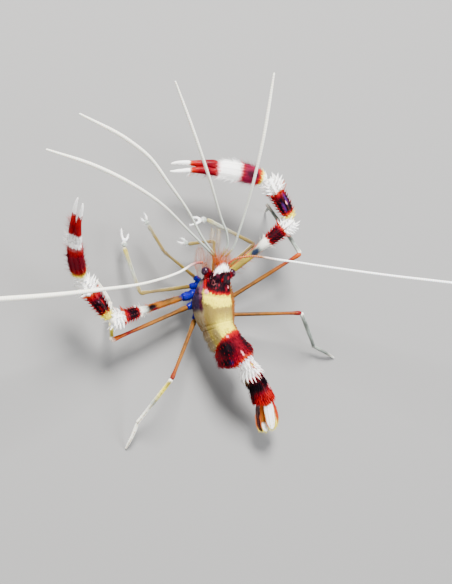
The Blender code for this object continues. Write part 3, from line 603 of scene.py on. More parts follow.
def eyePaint():
    # a dark glossy dome of facets with a red rim, and a painted reddish reflection ring above it
    paint = Paint("eyeGloss")
    rim = paint.ease(paint.along + paint.noise(2) * 0.6, 2.3, 1.9)
    # the faint red ring higher on the dome is a painted reflection
    paintedReflection = paint.spot(paint.along + paint.noise(3) * 0.5, 2.7, 0.45)
    colour = paint.mix(rim, (0.012, 0.004, 0.014), "blood")
    colour = paint.mix(paintedReflection * paint.ease(paint.noise(0.7), -0.05, 0.1) * 0.5, colour, "blood")
    return paint.finish(colour, 0.16 + rim * 0.25, 0.5, paint.cells(11), 0.012)


def feelerPaint(name, bands):
    # bands from the root, and the fine grey rings of its joints
    paint = Paint(name)
    rings = (paint.along * 9).math("SINE")
    colour = paint.bands(paint.along + paint.noise(0.4) * 5, bands)
    colour = paint.mix(paint.ease(rings, 0.3, 0.9) * 0.3, colour, "grey")
    return paint.finish(colour, 0.4 + rings * 0.08, 0.05, rings, 0.03, subsurface_weight=0.2)


def basePaint():
    # the legs' blue stumps, with darker and paler blotches, on a pale breast
    paint = Paint("baseBlue")
    broad, fine = paint.noise(0.5), paint.noise(2.2)
    colour = paint.mix(paint.ease(abs(paint.across) + broad, 2, 3), "mist", "blue")
    colour = paint.mix(paint.ease(broad + fine, -0.02, 0.2) * 0.8, colour, "navy")
    colour = paint.mix(paint.ease(paint.noise(3.5), 0.12, 0.2) * 0.35, colour, "lilac")
    return paint.finish(colour, fine * 0.3 + 0.45, 0.1, fine + paint.cells(2) * 0.5, 0.04, subsurface_weight=0.05)


def tailPaint(name, bands, edgeName, edgeFrom, alpha=None):
    # bands down the blade, another colour along its margins, and fine ribs
    paint = Paint(name)
    broad, fine, hairs = paint.noise(0.6), paint.noise(2.4), paint.streaks(4, 0.5)
    ribs = (paint.across * 9).math("SINE")
    colour = paint.bands(paint.along + broad * 1.4 + hairs * 1.6, bands)
    edge = paint.ease(abs(paint.across) + broad * 0.7, edgeFrom, edgeFrom + 0.4)
    colour = paint.mix(edge * paint.ease(paint.along, 9.6, 6.5), colour, edgeName)
    colour = paint.mix(paint.ease(hairs, 0.05, 0.18) * 0.3, colour, "haze")
    if alpha:
        alpha = paint.ease(paint.tip, 0, 0.3) * 0.3 + paint.ease(ribs, 0.2, 0.9) * (1 - alpha) * 0.6 + alpha
    return paint.finish(colour, fine * 0.25 + 0.425, 0.1, ribs * 0.6 + fine, 0.05, alpha=alpha, subsurface_weight=0.1)


paints = dict(
    body=bodyPaint(), clawLeft=clawPaint("left"), clawRight=clawPaint("right"), eye=eyePaint(), base=basePaint(),
    feelerPlain=feelerPaint("feelerWhite", "0 tan, 1.5 khaki, 4 grey, 40 milk"),
    feelerRosy=feelerPaint("feelerRosy", "0 orange, 3 rose, 9 milk, 40 milk"),
    feelerOrange=feelerPaint("feelerOrange", "0 scarlet, 2 orange, 10 amber, 16 snow, 40 snow"),
    telson=tailPaint("telsonWhite", "0 scarlet, 0.8 orange, 1.3 snow, 8.4 snow, 10 cream", "cream", 1.3),
    innerLeft=tailPaint("bladeGold", "0 blood, 0.8 orange, 6.2 amber, 7 snow, 10 milk", "scarlet", 1.1),
    # the left outer blade's dark maroon and bark margins are partly its own colour and partly painted shade
    outerLeft=tailPaint("bladeMaroonShaded", "0 wine, 2 blood, 7.5 blood, 9.6 tan", "bark", 1.1, 0.75),
    innerRight=tailPaint("bladeMilk", "0 ruby, 1 orange, 1.8 milk, 8 cream, 10 straw", "orange", 0.8),
    outerRight=tailPaint("bladeScarlet", "0 ruby, 3 scarlet, 7 orange, 10 straw", "scarlet", 0.9),
    thigh=limbPaint("legThigh", "0 violet, 3 tan, 9 bark, 17 tan, 25 crimson, 29 orange, 30.5 milk, 32 milk", "amber",
                    0.6, "amber"),
    shin=limbPaint("legShin", "0 milk, 1.5 straw, 4 cream, 9 grey, 13 milk, 20 milk", "milk", 0.5, "khaki"),
    shinPale=limbPaint("legShinPale", "0 milk, 2 grey, 5 mist, 9 grey, 15 mist, 20 milk", "grey", 0.6, "mist"),
    arm=limbPaint("armClear", "0 tan, 7 khaki, 14 haze, 19 khaki, 26 grey, 32 straw, 34 milk", "milk", 0.45, "haze"),
    pincer=limbPaint("pincerWhite", "0 grey, 1.2 grey, 2.6 snow, 7 snow", "snow", 0.5),
    face=limbPaint("faceAmber", "0 blood, 1.5 amber, 5 orange, 9 tan, 15 milk", "orange", 0.7, "khaki",
                   alpha=(0.06, 0.24)),
    cup=limbPaint("stalkPlum", "0 ink, 0.6 wine, 1.2 crimson, 3 scarlet", "scarlet", 0.8, "ink"),
    bristle=limbPaint("bristleRust", "0 ruby, 4 orange, 9 tan, 15 straw", "orange", 0.5, alpha=(0.45, 0.2)),
)
print("paints mixed:", len(paints))


back = dict(
    start=(0, -6.2, 17.1),
    turn=((0, -2), (4, -1), (8, 4), (13.5, 16), (16.1, 30), (19.3, 36), (24, 39), (28, 42), (35, 43), (38, 34),
          (43, 22)),
    pitch=((13.5, 0), (16, 9), (19, 7), (22.5, 0), (28, -20.5)),
    ahead=4.4,  # from the beak's tip to where the line of the back starts
    length=54,
)


def walkBack():
    # the line of the back, by adding up short steps along its changing heading and pitch
    pace = 0.1
    travelled = np.arange(-1, back["length"], pace)
    turn, rise = (np.interp(travelled, *np.array(back[key]).T) for key in ("turn", "pitch"))
    way = direction(180 + turn, rise)
    return travelled, np.array(back["start"]) + np.cumsum(way * pace, axis=0) - way[0] * (1 + pace)


backPlaces, backPoints = walkBack()


def onBack(distance):
    # the point of the back, with its way to the tail, its left and its upper normal
    def point(d):
        return join(*(np.interp(d, backPlaces, axis) for axis in backPoints.T))
    ahead = unit(point(distance + 0.6) - point(distance - 0.6))
    left = unit(np.cross(ahead, (0, 0, 1)))
    return point(distance), ahead, left, np.cross(left, ahead)


# a shell's section: from 0 on top to 1 under the belly, its share of the half width and of the depth
shellOutline = ((0, 0, 1), (0.125, 0.38, 0.95), (0.25, 0.7, 0.8), (0.375, 0.92, 0.55), (0.5, 1, 0.28),
                (0.625, 0.96, 0.06), (0.72, 0.8, -0.01), (0.82, 0.6, 0.1), (1, 0, 0.16))


def shellForm(sizes, begin, end, girth=((0, 1), (1, 1)), rise=((0, 0), (1, 0)), front=None, groove=None, lobe=0):
    # a section of half width and depth hung from the back's line; half runs from 0 on top to 1 under the belly
    def read(u, v):
        u, v = paired(u, v)
        half, side = 2 * np.minimum(v % 1, 1 - v % 1), np.where(v % 1 < 0.5, 1, -1)
        first = begin + (front(half) if front else 0)
        distance = first + u * (end - first)
        width, depth = stations(distance, sizes) * stations(u, girth)
        across, share = stations(half, shellOutline)
        dent = groove(distance, half, side) if groove else 0
        low = step(0.3, 0, share) * lobe * (2 * u - 1) ** 2
        return distance, across * (width - dent) * side, (share - 1 + low) * depth - dent * step(0.5, 0, half)

    def form(u, v):
        distance, across, high = read(u, v)
        point, _, left, upper = onBack(distance)
        lift = stations(distance, rise)[0]
        return point + lift[..., None] * (0, 0, 1) + across[..., None] * left + high[..., None] * upper

    def rest(u, v):
        distance, across, high = read(u, v)
        return join(across, distance + back["ahead"], high)
    return dict(form=form, rest=rest)


carapace = dict(
    sizes=((0, 3.3, 6.4), (0.8, 4.1, 7.4), (2.2, 4.7, 8.2), (5.2, 5.6, 8.7), (9.2, 5.8, 8.8), (12.2, 5.3, 8.4),
           (13.8, 4.8, 7.7)),
    rise=((0, -0.7), (0.8, -0.2), (2.2, 0.1), (5.2, 0.4), (9.2, 0.4), (12.2, 0.2), (13.8, 0)),
    end=13.75,
    groove=dict(top=6.4, sweep=3.4, depth=0.3, width=0.45),
    points=(0.012, 0.014, 0.015, 0.016, 0.018, 0.02, 0.025, 0.03),  # where the front edge's long spines stand
)
# the shield between the eyes, narrowing to a beak: distance back, height, half width, half thickness
beak = dict(
    line=((-3.2, 15.6, 2.7, 0.6), (-4.4, 16.3, 2.8, 0.7), (-5.8, 16.7, 2.7, 0.75), (-6.8, 16.8, 2.55, 0.75),
          (-7.8, 16.9, 2.25, 0.7), (-8.6, 16.95, 1.8, 0.65), (-9.3, 16.95, 1.25, 0.55), (-10, 16.95, 0.65, 0.4),
          (-10.55, 16.95, 0.2, 0.18)),
    teeth=5,
)


def carapaceFront(half):
    # the front edge: set back round the eye, a point below it, and rounded away at the cheek
    return 0.55 * bell(half, 0.27, 0.09) - 0.4 * bell(half, 0.43, 0.05) + 1.5 * step(0.55, 0.85, half)


def carapaceGroove(distance, half, side):
    # a furrow across the neck, sweeping forward down the cheeks, a fainter one behind it along each side, and a
    # swelling low on the left
    cut = carapace["groove"]
    neck = bell(distance, cut["top"] - cut["sweep"] * half, cut["width"]) * step(0.62, 0.4, half)
    gill = bell(half, 0.3, 0.03) * step(5.5, 7, distance) * step(13.4, 11, distance)
    rim = bell(distance, 13, 0.25) + 0.8 * bell(half, 0.56, 0.02) * step(1, 2.5, distance)
    swell = 0.5 * bell(distance, 6.8, 2.8) * step(0.3, 0.55, half) * (side > 0)
    return cut["depth"] * (neck + 0.35 * gill + 0.35 * rim) - swell


def beakShape():
    # the beak's line runs forwards in the middle plane, and its chart runs back from the tip
    behind, height, width, thick = np.array(beak["line"]).T
    length = behind[0] - behind[-1]
    share = (behind[0] - behind) / length

    def line(u):
        return join(0, behind[0] - u * length, smooth(u, share, height))

    def keel(u, v):
        # a crest along the top, and hollows either side of it
        turn = 2 * math.pi * v
        return 0.35 * bell(turn, math.pi / 2, 0.22) * step(0.1, 0.5, u) - 0.1 * bell(turn, math.pi / 2, 0.8)
    shape = barForm(line, np.column_stack((share, width, thick)), length, relief=keel)
    plain = shape["rest"]
    shape["rest"] = lambda u, v: plain(u, v) * (1, -1, 1) + (0, length, -0.5)
    return shape


def makeCarapace():
    shell = shellForm(carapace["sizes"], 0, carapace["end"], rise=carapace["rise"], front=carapaceFront,
                      groove=carapaceGroove)
    shield, shellTile, shieldTile = beakShape(), (0, 2), (1, 2)
    skins = [gridSkin(shell, rows=120, columns=96, crowd=0.3, lips=((0.22, 0.7), (0.06, 0.25))),
             gridSkin(shield, rows=60, columns=32, crowd=0.2)]
    shellPiece("carapaceShell", skins, "body", "clear_shell", "carapace")
    batches = []
    u, v = scatter(rows=13, columns=15, uRange=(0.02, 0.62), vRange=(-0.27, 0.27))
    grow(batches, shell, u, v, length=0.62 * (1.15 - 0.7 * u), girth=0.13, lean=-1.3, tile=shellTile, curl=-0.25)
    u, v = scatter(rows=9, columns=13, uRange=(0.55, 0.97), vRange=(-0.3, 0.3))
    grow(batches, shell, u, v, length=0.26, girth=0.07, lean=-1.2, tile=shellTile, corners=4)
    for side in (-1, 1):
        # along the lower edge, round the front edge, and the beak's side teeth
        edge = np.linspace(0.04, 0.95, 24)
        grow(batches, shell, edge, side * 0.262, length=0.42, girth=0.08, lean=-1, tile=shellTile)
        arc = side * np.linspace(0.085, 0.25, len(carapace["points"]))
        grow(batches, shell, carapace["points"], arc, length=1.3, girth=0.3, lean=-2.6, tile=shellTile, spread=0.25)
        grow(batches, shield, np.linspace(0.45, 0.88, beak["teeth"]), 0.25 + side * 0.19,
             length=0.6, girth=0.12, lean=1.2, tile=shieldTile, spread=0.05)
    grow(batches, shield, np.linspace(0.1, 0.93, beak["teeth"] + 2), 0.25,
         length=0.95, girth=0.2, lean=1.3, tile=shieldTile, spread=0.05, curl=0.2)
    u, v = scatter(rows=5, columns=9, uRange=(0.45, 0.97), vRange=(0, 0.5))
    grow(batches, shield, u, v, length=0.8, girth=0.17, lean=1.1, tile=shieldTile, spread=0.3, curl=0.2)
    coatPiece("carapaceSpines", batches, "body")


abdomen = dict(
    lengths=(2, 2.8, 7.4, 5.7, 4.3, 5.6),
    sizes=((0, 4.6, 7.4), (5.5, 4.7, 8.4), (8.5, 4.9, 8.6), (12, 4.4, 7.2), (12.6, 3.4, 5.4), (17.9, 2.7, 4.6),
           (22.2, 2.6, 4.2), (24, 2.9, 4.2), (27.8, 3.3, 4.4)),
    begin=13.8,
    tuck=0.9,  # how far each ring's front slides under the ring before it
    girth=((0, 0.86), (0.12, 0.9), (0.2, 0.97), (0.5, 1), (0.85, 1.015), (1, 0.99)),
    spines=(0.45, 0.5, 0.85, 1.5, 0.95, 0.85),
    slots=("clear_shell", "clear_shell", "red_shell", "white_shell", "red_shell", "red_shell"),
    # each row of spines: where it stands on a ring, and its size
    rows=((0.3, 0.5), (0.42, 0.6), (0.54, 0.7), (0.66, 0.8), (0.78, 0.85), (0.88, 0.9), (0.965, 1)),
    leaf=((0, 0.3, 0.35), (0.2, 0.3, 0.55), (0.55, 0.22, 0.95), (0.85, 0.14, 0.6), (1, 0.08, 0.1)),
)


def paddle(hinge, down, aside, ahead, length, turn):
    # a swimming leg's leaf, thin along aside and broad along ahead
    def form(u, v):
        u, v = paired(u, v)
        thin, broad = stations(u, abdomen["leaf"])
        across, swing = thin * np.cos(2 * math.pi * v), broad * np.sin(2 * math.pi * v) + turn * u * u
        return hinge + (u * length)[..., None] * down + across[..., None] * aside + swing[..., None] * ahead

    def rest(u, v):
        return join(np.cos(2 * math.pi * v), 7 + 6 * u, np.sin(2 * math.pi * v))
    return dict(form=form, rest=rest)


def makeSomite(number, begin, length, spine, slotName, batches):
    sizes = np.array(abdomen["sizes"]) + (abdomen["begin"], 0, 0)
    tuck = abdomen["tuck"] if number > 1 else 0.5
    shape = shellForm(sizes, begin - tuck, begin + length - 0.02, abdomen["girth"], lobe=0.13)
    skins = [gridSkin(shape, rows=56 if length > 4 else 40, columns=80, crowd=0.35, lips=((0.1, 0.2), (0.05, 0.3)))]
    if number < 6:
        middle = begin + length * 0.5
        point, ahead, left, upper = onBack(np.array(middle))
        depth = stations(middle, sizes)[1]
        down = unit(-upper + 0.3 * ahead)
        for mirror in sides.values():
            aside = left * mirror
            for turn, offset, reach in ((0.5, 1.82, 0.5), (-0.4, 1.22, 0.42)):
                hinge = point - upper * depth * 0.78 + aside * offset
                leaf = paddle(hinge, down, aside, -ahead * mirror, depth * reach, turn)
                skins.append(gridSkin(leaf, rows=14, columns=12))
    shellPiece(f"somite{number}Shell", skins, "body", slotName, f"somite_{number}")

    # the fourth ring's spines are fewer, longer and stand up more
    tile, white = (0, len(skins)), number == 4
    for place, size in abdomen["rows"] if length > 4 else abdomen["rows"][3::3]:
        many = int(8 + 5 * place) if white else int(12 + 9 * place)
        v = (np.arange(many) + 0.5 * chance.uniform(0, 1)) / many * 0.6 - 0.3
        tall = spine * size
        grow(batches, shape, place, v, length=tall, girth=0.1 + 0.14 * tall, lean=0.8 if white else 1.4,
             tile=tile, spread=0.2, curl=0.3)
    for side in (-1, 1):
        grow(batches, shape, np.linspace(0.15, 0.9, 12), side * 0.31,
             length=0.4 + 0.6 * spine, girth=0.12, lean=0.6, tile=tile)


def makeAbdomen():
    begin, batches = abdomen["begin"], []
    for number, (length, *ring) in enumerate(zip(*(abdomen[key] for key in ("lengths", "spines", "slots"))), 1):
        makeSomite(number, begin, length, *ring, batches)
        begin += length
    coatPiece("abdomenSpines", batches, "body")


tail = dict(
    start=13.8 + 27.8, length=9.6, hairs=46,  # hairs along each margin
    blade=((0, 0.55), (0.12, 0.8), (0.5, 1), (0.82, 0.86), (0.95, 0.5), (1, 0.2)),
    plates=(  # name, node, aside at root, half width, half thickness, below the back, aside at tip, reach
        ("telsonBlade", "telson", 0, 1.75, 0.6, 0.9, 0, 0.95),
        ("uropodInner", "uropod_inner", 0.9, 1.35, 0.26, 2, 1.5, 1),
        ("uropodOuter", "uropod_outer", 1.7, 1.5, 0.28, 2.9, 2.45, 0.98),
    ),
)


def tailShape(mirror, inset, width, thick, below, spread, reach):
    share = np.linspace(0, 1, 9)
    point, _, left, upper = onBack(tail["start"] + 0.1 + (tail["length"] - 0.1) * share)
    aside = (mirror * (inset + (spread - inset) * share))[:, None]
    line, length = curveLine(point[0] + (point - point[0]) * reach + left * aside - upper * below)
    along, broad = np.array(tail["blade"]).T
    narrow = 1 if mirror else 1 - 0.3 * along
    girths = np.column_stack((along, width * broad * narrow, thick * (1 - 0.5 * along)))

    def ribs(u, v):
        # a ridge down each side of the middle of the upper face
        turn = 2 * math.pi * v % (2 * math.pi)
        return 0.22 * (bell(turn, 1.15, 0.12) + bell(turn, 1.99, 0.12)) * step(0, 0.15, u) * step(1, 0.8, u)
    return barForm(line, girths, length, ends=(0.5, 0.6), relief=ribs)


def makeTail():
    batches = []
    for name, node, *plate in tail["plates"]:
        for side, mirror in (("", 0),) if node == "telson" else sides.items():
            shape = tailShape(mirror, *plate)
            finish = node.replace("uropod_", "") + side.title()
            shellPiece(name + side.title(), [gridSkin(shape, rows=60, columns=40)], finish,
                       "amber_shell" if "outer" in node else "white_shell", f"{node}_{side}".strip("_"))
            # hairs along both margins, and a row or two of spines on the upper face
            many = tail["hairs"]
            u = np.concatenate((np.linspace(0.35, 0.985, many), np.linspace(0.37, 0.99, many)))
            grow(batches, shape, u, np.repeat((0, 0.5), many),
                 length=0.55 + 0.75 * u, girth=0.05, lean=1.5 + 2 * u, spread=0.12, corners=3)
            for v in (0.25,) if mirror else (0.19, 0.31):
                grow(batches, shape, np.linspace(0.15, 0.8, 7), v,
                     length=0.55, girth=0.1, lean=2.2, spread=0.05, curl=0.2)
    coatPiece("tailFringe", batches, "innerRight")


makeCarapace()
makeAbdomen()
makeTail()
print("body and tail made")


# each leg: its root on the left side, how far its blue base reaches, and how thick it is there
roots = dict(
    leg1=((3, -6.6, 6.3), 1.6, 0.8), leg2=((3.4, -4.9, 6.3), 2.6, 0.9), leg3=((3.6, -2.6, 6.3), 5.4, 1.3),
    leg4=((3.6, 0.4, 6.3), 3.4, 1), leg5=((3.2, 3.4, 6.3), 2.4, 0.95),
    # the first three right legs are drawn forward under the head
    leg1_right=((1.8, -7.5, 6), 1.6, 0.8), leg2_right=((3.8, -8.3, 5), 2.6, 0.9),
    leg3_right=((3.9, -7, 6.9), 2.6, 1.25),
)
# length, heading and pitch of each segment outwards; a foot has no pitch, as it comes down to the floor
pose = dict(
    leg1_left=((14.4, 60.7, 15), (9, 33.6, 0), (3.2, 34, 4)),
    leg1_right=((11, -2.4, 0), (9.5, 101.6, 12.1), (3.2, 70, 0)),
    leg2_left=((19.1, 101.3, 8.1), (14.3, 16.1, -12.1), (5.6, -6.4, -10.3)),
    leg2_right=((14.5, -46.1, 16), (16.1, 66.7, -3.6), (5.6, 99.7, -5)),
    leg3_left=((31.3, 109.6, 14), (14.3, 43.4, 11.8), (30.3, 27.7, 49.8)),
    leg3_right=((27.4, -48, 19.3), (14, 36.8, 8.4), (30.5, 87.4, -11.2)),
    leg4_left=((30, 114.4, 7.2), (14, -10, -32), (8, 28)),
    leg4_right=((28.6, -55.7, 17.8), (18.3, 27.8, -18.9), (9.9, -96.5)),
    leg5_left=((24, 151, 19), (16.8, 152, -37), (8.6, 164)),
    leg5_right=((25, -87.5, 15.4), (16.2, -132.7, -38), (9.4, -109)),
)


def rootOf(limb):
    leg, side = limb.split("_")
    place, reach, thick = roots.get(limb, roots[leg])
    return np.array(place) * (sides[side], 1, 1), reach, thick


def jointsOf(limb):
    # the limb's joints, and the way and length of each segment
    points, ways = [rootOf(limb)[0]], []
    for length, heading, *pitch in pose[limb]:
        pitch = pitch[0] if pitch else -math.degrees(math.asin(points[-1][2] / length))
        ways.append(direction(heading, pitch))
        points.append(points[-1] + length * ways[-1])
    return points, ways, [row[0] for row in pose[limb]]


def bar(start, way, begin, end, girths, offset=0, bow=0, **more):
    return barForm(straightLine(start, way, begin, end, bow), girths, end - begin, offset + begin, **more)


claw = dict(
    arm=((0, 0.95), (0.3, 1.15, 1.1), (0.52, 1.3, 1.25), (0.66, 1.7, 1.6), (0.85, 1.95, 1.8), (0.97, 1.8, 1.65),
         (1, 1.5, 1.4)),
    wrist=((0, 1.1), (0.12, 1.6, 1.55), (0.3, 2.05, 1.9), (0.6, 2.25, 2), (0.9, 2.15, 1.95), (1, 1.7, 1.6)),
    palm=((1, 1, 1, 0), (1.8, 1.5, 1.35, 0), (2.8, 2, 1.6, 0), (4.2, 2.4, 1.75, 0),
          (6, 2.6, 1.8, 0), (8.4, 2.68, 1.82, 0), (10.8, 2.62, 1.76, 0), (13, 2.45, 1.64, 0),
          (14.8, 2.25, 1.48, -0.1), (15.7, 1.75, 1.34, -0.6), (16.4, 1.35, 1.2, -0.95), (19, 1.2, 1.1, -0.95),
          (21.4, 1.02, 0.98, -0.9), (22.8, 0.8, 0.84, -1), (27, 0.55, 0.58, -1.22), (29, 0.35, 0.37, -1.17),
          (30, 0.16, 0.18, -1.05)),
    finger=((15.4, 0.9, 1, 0.9), (16.4, 1.3, 1.2, 1), (19, 1.22, 1.12, 1.02), (21.4, 1.04, 0.98, 0.95),
            (22.8, 0.8, 0.82, 1.06), (26, 0.58, 0.6, 1.28), (28.2, 0.38, 0.4, 1.27), (29.4, 0.16, 0.18, 1.12)),
    slim=dict(left=0.87, right=1), hook=dict(left=-0.9, right=0.8), roll=dict(left=124, right=0), bow=1.9,
    wristStart=31.5, palmStart=46,  # where the wrist's and the palm's colours start
    # spines: part, rows, from, to, spines in a row, length, girth, lean, curl
    rows=((0, 8, 0.1, 0.62, 16, 0.4, 0.09, 1.1, 0), (0, 11, 0.6, 0.82, 6, 1, 0.2, 0.8, 0.2),
          (0, 10, 0.82, 0.99, 4, 1.7, 0.4, 0.3, 0.2), (1, 11, 0.05, 0.64, 8, 1, 0.2, 0.9, 0.2),
          (1, 10, 0.66, 0.99, 5, 1.8, 0.42, 0.3, 0.2), (2, 10, 0.02, 0.5, 22, 0.5, 0.1, 1.2, 0.2)),
    fringe=dict(left=(0.14, 0.36, 0.64, 0.86), right=(0, 0.5)),
    hairs=((0, 0.95, 44), (1, 0.95, 36), (2, 0.8, 110)),  # part, to, how many
)


def clawRows(part, side):
    slim = claw["slim"][side]
    return fullRows(claw[part]) * (1, slim, slim, slim)


def clawPart(part, wrist, way, length, side, mirror, relief):
    # the palm and fingers curve outwards: share (1 - share) of four times the bow, and the hook by the share's square
    rows = clawRows(part, side)
    begin, end = rows[[0, -1], 0]
    outwards = unit(np.cross((0, 0, mirror), way))

    def line(u):
        along = (begin + np.asarray(u, float) * (end - begin))[..., None]
        share = along / length
        out = 4 * claw["bow"] * share * (1 - share) + claw["hook"][side] * share ** 2
        return wrist + along * way + out * outwards
    girths = rows * (1, 1, 1, mirror) - (begin, 0, 0, 0)
    return barForm(line, girths / (end - begin, 1, 1, 1), end - begin, claw["palmStart"] + begin, (0.5, 0.3), relief,
                   claw["roll"][side])


def biting(inner, low):
    # blunt teeth along the edge that meets the other finger
    return lambda u, v: (0.16 * np.abs(np.sin(36 * u)) * bell((v - inner + 0.5) % 1, 0.5, 0.07)
                         * step(low, low + 0.06, u))


def makeClaw(side, mirror):
    limb, label = f"leg3_{side}", "claw" + side.title()
    (root, knee, wrist, _), ways, lengths = jointsOf(limb)
    inner, start = 0.5 if mirror < 0 else 0, claw["wristStart"]
    arm = bar(root, ways[0], rootOf(limb)[1] - 0.1, lengths[0] + 0.5, clawRows("arm", side), start - 0.2 - lengths[0],
              ends=(0.4, 1.1))
    carpus = bar(knee, ways[1], 0.55, lengths[1] + 0.5, clawRows("wrist", side), start, ends=(1, 1.1))
    palm = clawPart("palm", wrist, ways[2], lengths[2], side, mirror, biting(inner, 0.72))
    finger = clawPart("finger", wrist, ways[2], lengths[2], side, mirror, biting(0.5 - inner, 0.45))
    parts = (arm, carpus, palm, finger)
    for name, shape, rows in zip(("Arm", "Wrist", "Palm", "Finger"), parts, (150, 90, 200, 110)):
        shellPiece(label + name, [gridSkin(shape, rows=rows, columns=48, crowd=0.3)], label,
                   "white_shell" if name == "Finger" else "red_shell", f"{limb}_{name.lower()}")

    batches = []
    for part, many, begin, end, count, size, girth, lean, curl in claw["rows"]:
        for number in range(many):
            # each row is shifted by half a step from the next
            u = begin + (np.arange(count) + 0.5 * (number % 2)) / count * (end - begin)
            grow(batches, parts[part], u, (number + 0.5) / many, size, girth, lean, tile=(part, 4), curl=curl)
    for edge in claw["fringe"][side]:
        grow(batches, palm, np.linspace(0.03, 0.52, 30), edge, length=1, girth=0.15, lean=0.8, tile=(2, 4), curl=0.2)
        for part, end, count in claw["hairs"]:
            u = np.sort(chance.uniform(0.08, end, count))
            v = edge + 0.06 * chance.normal(size=count)
            grow(batches, parts[part], u, v,
                 length=1.7, girth=0.045, lean=0.5, tile=(part, 4), spread=0.25, corners=3, curl=0.3)
    coatPiece(label + "Spines", batches, label)


# how far the small pincers' prongs stand apart at their tips, and the side of the longer one
pincers = dict(leg1_left=dict(spread=0.8, longer=-1), leg1_right=dict(spread=0.7, longer=1),
               leg2_left=dict(spread=1.1, longer=1), leg2_right=dict(spread=1.1, longer=1))


def makeArm(leg, side, batches):
    # a thin bent arm with a knuckle at its elbow, and a small pincer
    limb = f"{leg}_{side}"
    (root, elbow, wrist, _), ways, lengths = jointsOf(limb)
    _, reach, thick = rootOf(limb)
    line, length = bentLine((root + reach * ways[0], elbow, wrist), 0.8)
    bend = (lengths[0] - reach) / length
    girths = [(at, size * thick, size * thick * 0.95) for at, size in (
        (0, 0.7), (0.08, 0.66), (bend * 0.5, 0.6), (bend - 0.06, 0.62), (bend - 0.02, 0.74), (bend, 0.54),
        (bend + 0.03, 0.66), (bend + 0.1, 0.62), (0.9, 0.66), (0.97, 0.7), (1, 0.5))]
    arm = barForm(line, girths, length, reach, (0.3, 0.3))
    shellPiece(f"{leg}Arm{side.title()}", [gridSkin(arm, rows=180, columns=20, crowd=0.1)], "arm", "amber_shell",
               limb + "_arm")

    size, way, reach = thick / 0.9, ways[2], lengths[2]
    palm = [(at, width * size, high * size) for at, width, high in (
        (0, 0.42, 0.4), (0.12, 0.65, 0.5), (0.3, 0.86, 0.6), (0.45, 0.8, 0.56), (0.52, 0.6, 0.45), (0.56, 0.5, 0.3))]
    palm = bar(wrist, way, 0.1, reach * 0.5, palm, ends=(0.3, 0.3))
    skins = [gridSkin(palm, rows=40, columns=24)]
    aside = unit(np.cross((0, 0, 1), way)) * pincers[limb]["longer"]
    for mirror, far in ((-1, 0.78), (1, 1)):
        spread = pincers[limb]["spread"] * mirror
        line, length = curveLine((
            wrist + way * reach * 0.36 + aside * mirror * 0.34 * size,
            wrist + way * reach * (0.36 + far) / 2 + aside * (mirror * 0.42 * size + spread * 0.45),
            wrist + way * reach * far + aside * spread))
        prong = barForm(line, ((0, 0.34), (0.5, 0.28, 0.3), (1, 0.12)), length, reach * 0.45, (0.1, 0.2))
        skins.append(gridSkin(prong, rows=30, columns=14))
        u, v = chance.uniform(0.25, 1, 26), chance.uniform(0, 1, 26)
        grow(batches, prong, u, v, length=0.7, girth=0.022, lean=1.2, spread=0.3, corners=3)
    shellPiece(f"{leg}Pincer{side.title()}", skins, "pincer", "white_shell", limb + "_pincer")
    u, v = chance.uniform(0.05, 0.95, 40), chance.uniform(0, 1, 40)
    grow(batches, palm, u, v, length=0.55, girth=0.022, lean=1, spread=0.3, corners=3)


# half widths; a thigh's are shares of its root's thickness
walker = dict(
    thigh=((0, 0.7), (0.04, 0.76), (0.12, 0.66), (0.5, 0.6), (0.88, 0.57), (0.96, 0.68), (1, 0.5)),
    shin=((0, 0.5), (0.03, 0.62), (0.1, 0.58), (0.5, 0.62), (0.92, 0.52), (0.98, 0.56), (1, 0.46)),
    foot=((0, 0.4), (0.06, 0.44), (0.14, 0.5), (0.45, 0.46), (0.8, 0.38), (1, 0.24)),
    footRise=0.22, toeHeight=0.25,  # the foot's arch, as a share of the ankle's height, and its tip's middle
)


def makeWalker(leg, side, batches):
    # thigh, shin and foot, with spinules under them
    limb = f"{leg}_{side}"
    (hip, knee, ankle, toe), ways, lengths = jointsOf(limb)
    _, reach, thick = rootOf(limb)

    def rings(u, v):
        return 0.07 * bell(u * 12 % 1, 0.5, 0.16) * step(0.08, 0.14, u) * step(0.95, 0.9, u)
    thigh = [(at, size * thick) for at, size in walker["thigh"]]
    thigh = bar(hip, ways[0], reach - 0.1, lengths[0] + 0.25, thigh, bow=0.01, ends=(0.3, 0.5))
    shin = bar(knee, ways[1], 0, lengths[1] + 0.2, walker["shin"], bow=0.015, ends=(0.4, 0.4), relief=rings)
    share = np.array((0.005, 0.22, 0.45, 0.65, 0.84, 1))
    path = ankle + share[:, None] * (toe - ankle)
    path[:, 2] += walker["footRise"] * ankle[2] * 4 * (share - share[0]) * (1 - share)
    path[-1, 2] = walker["toeHeight"]
    line, length = curveLine(path)
    foot = barForm(line, walker["foot"], length, 10, (0.3, 0.25), rings)
    pale = "shin" if side == "left" else "shinPale"
    for name, node, shape, rows, paint, end, count in (
            ("Thigh", "upper", thigh, 110, "thigh", 0.95, 26), ("Shin", "lower", shin, 150, pale, 0.95, 22),
            ("Foot", "foot", foot, 110, pale, 0.82, 12)):
        shellPiece(leg + name + side.title(), [gridSkin(shape, rows=rows, columns=20, crowd=0.15)], paint,
                   "amber_shell" if name == "Thigh" else "white_shell", f"{limb}_{node}")
        for v in (0.62, 0.88):
            grow(batches, shape, np.linspace(0.08, end, count), v, length=0.3, girth=0.05, lean=1.4, corners=4)


bases = dict(
    begin=-7, length=13.6, height=7.3,
    plate=((0, 1.6, 1), (0.8, 2.3, 1.5), (3.5, 2.8, 1.7), (7, 2.9, 1.75), (10.5, 2.9, 1.75), (12.8, 2.3, 1.5),
           (13.6, 1.6, 1)),
    inwards=1.8, foremost=-4.8, level=6.5,  # where a stump starts inside the breast
)


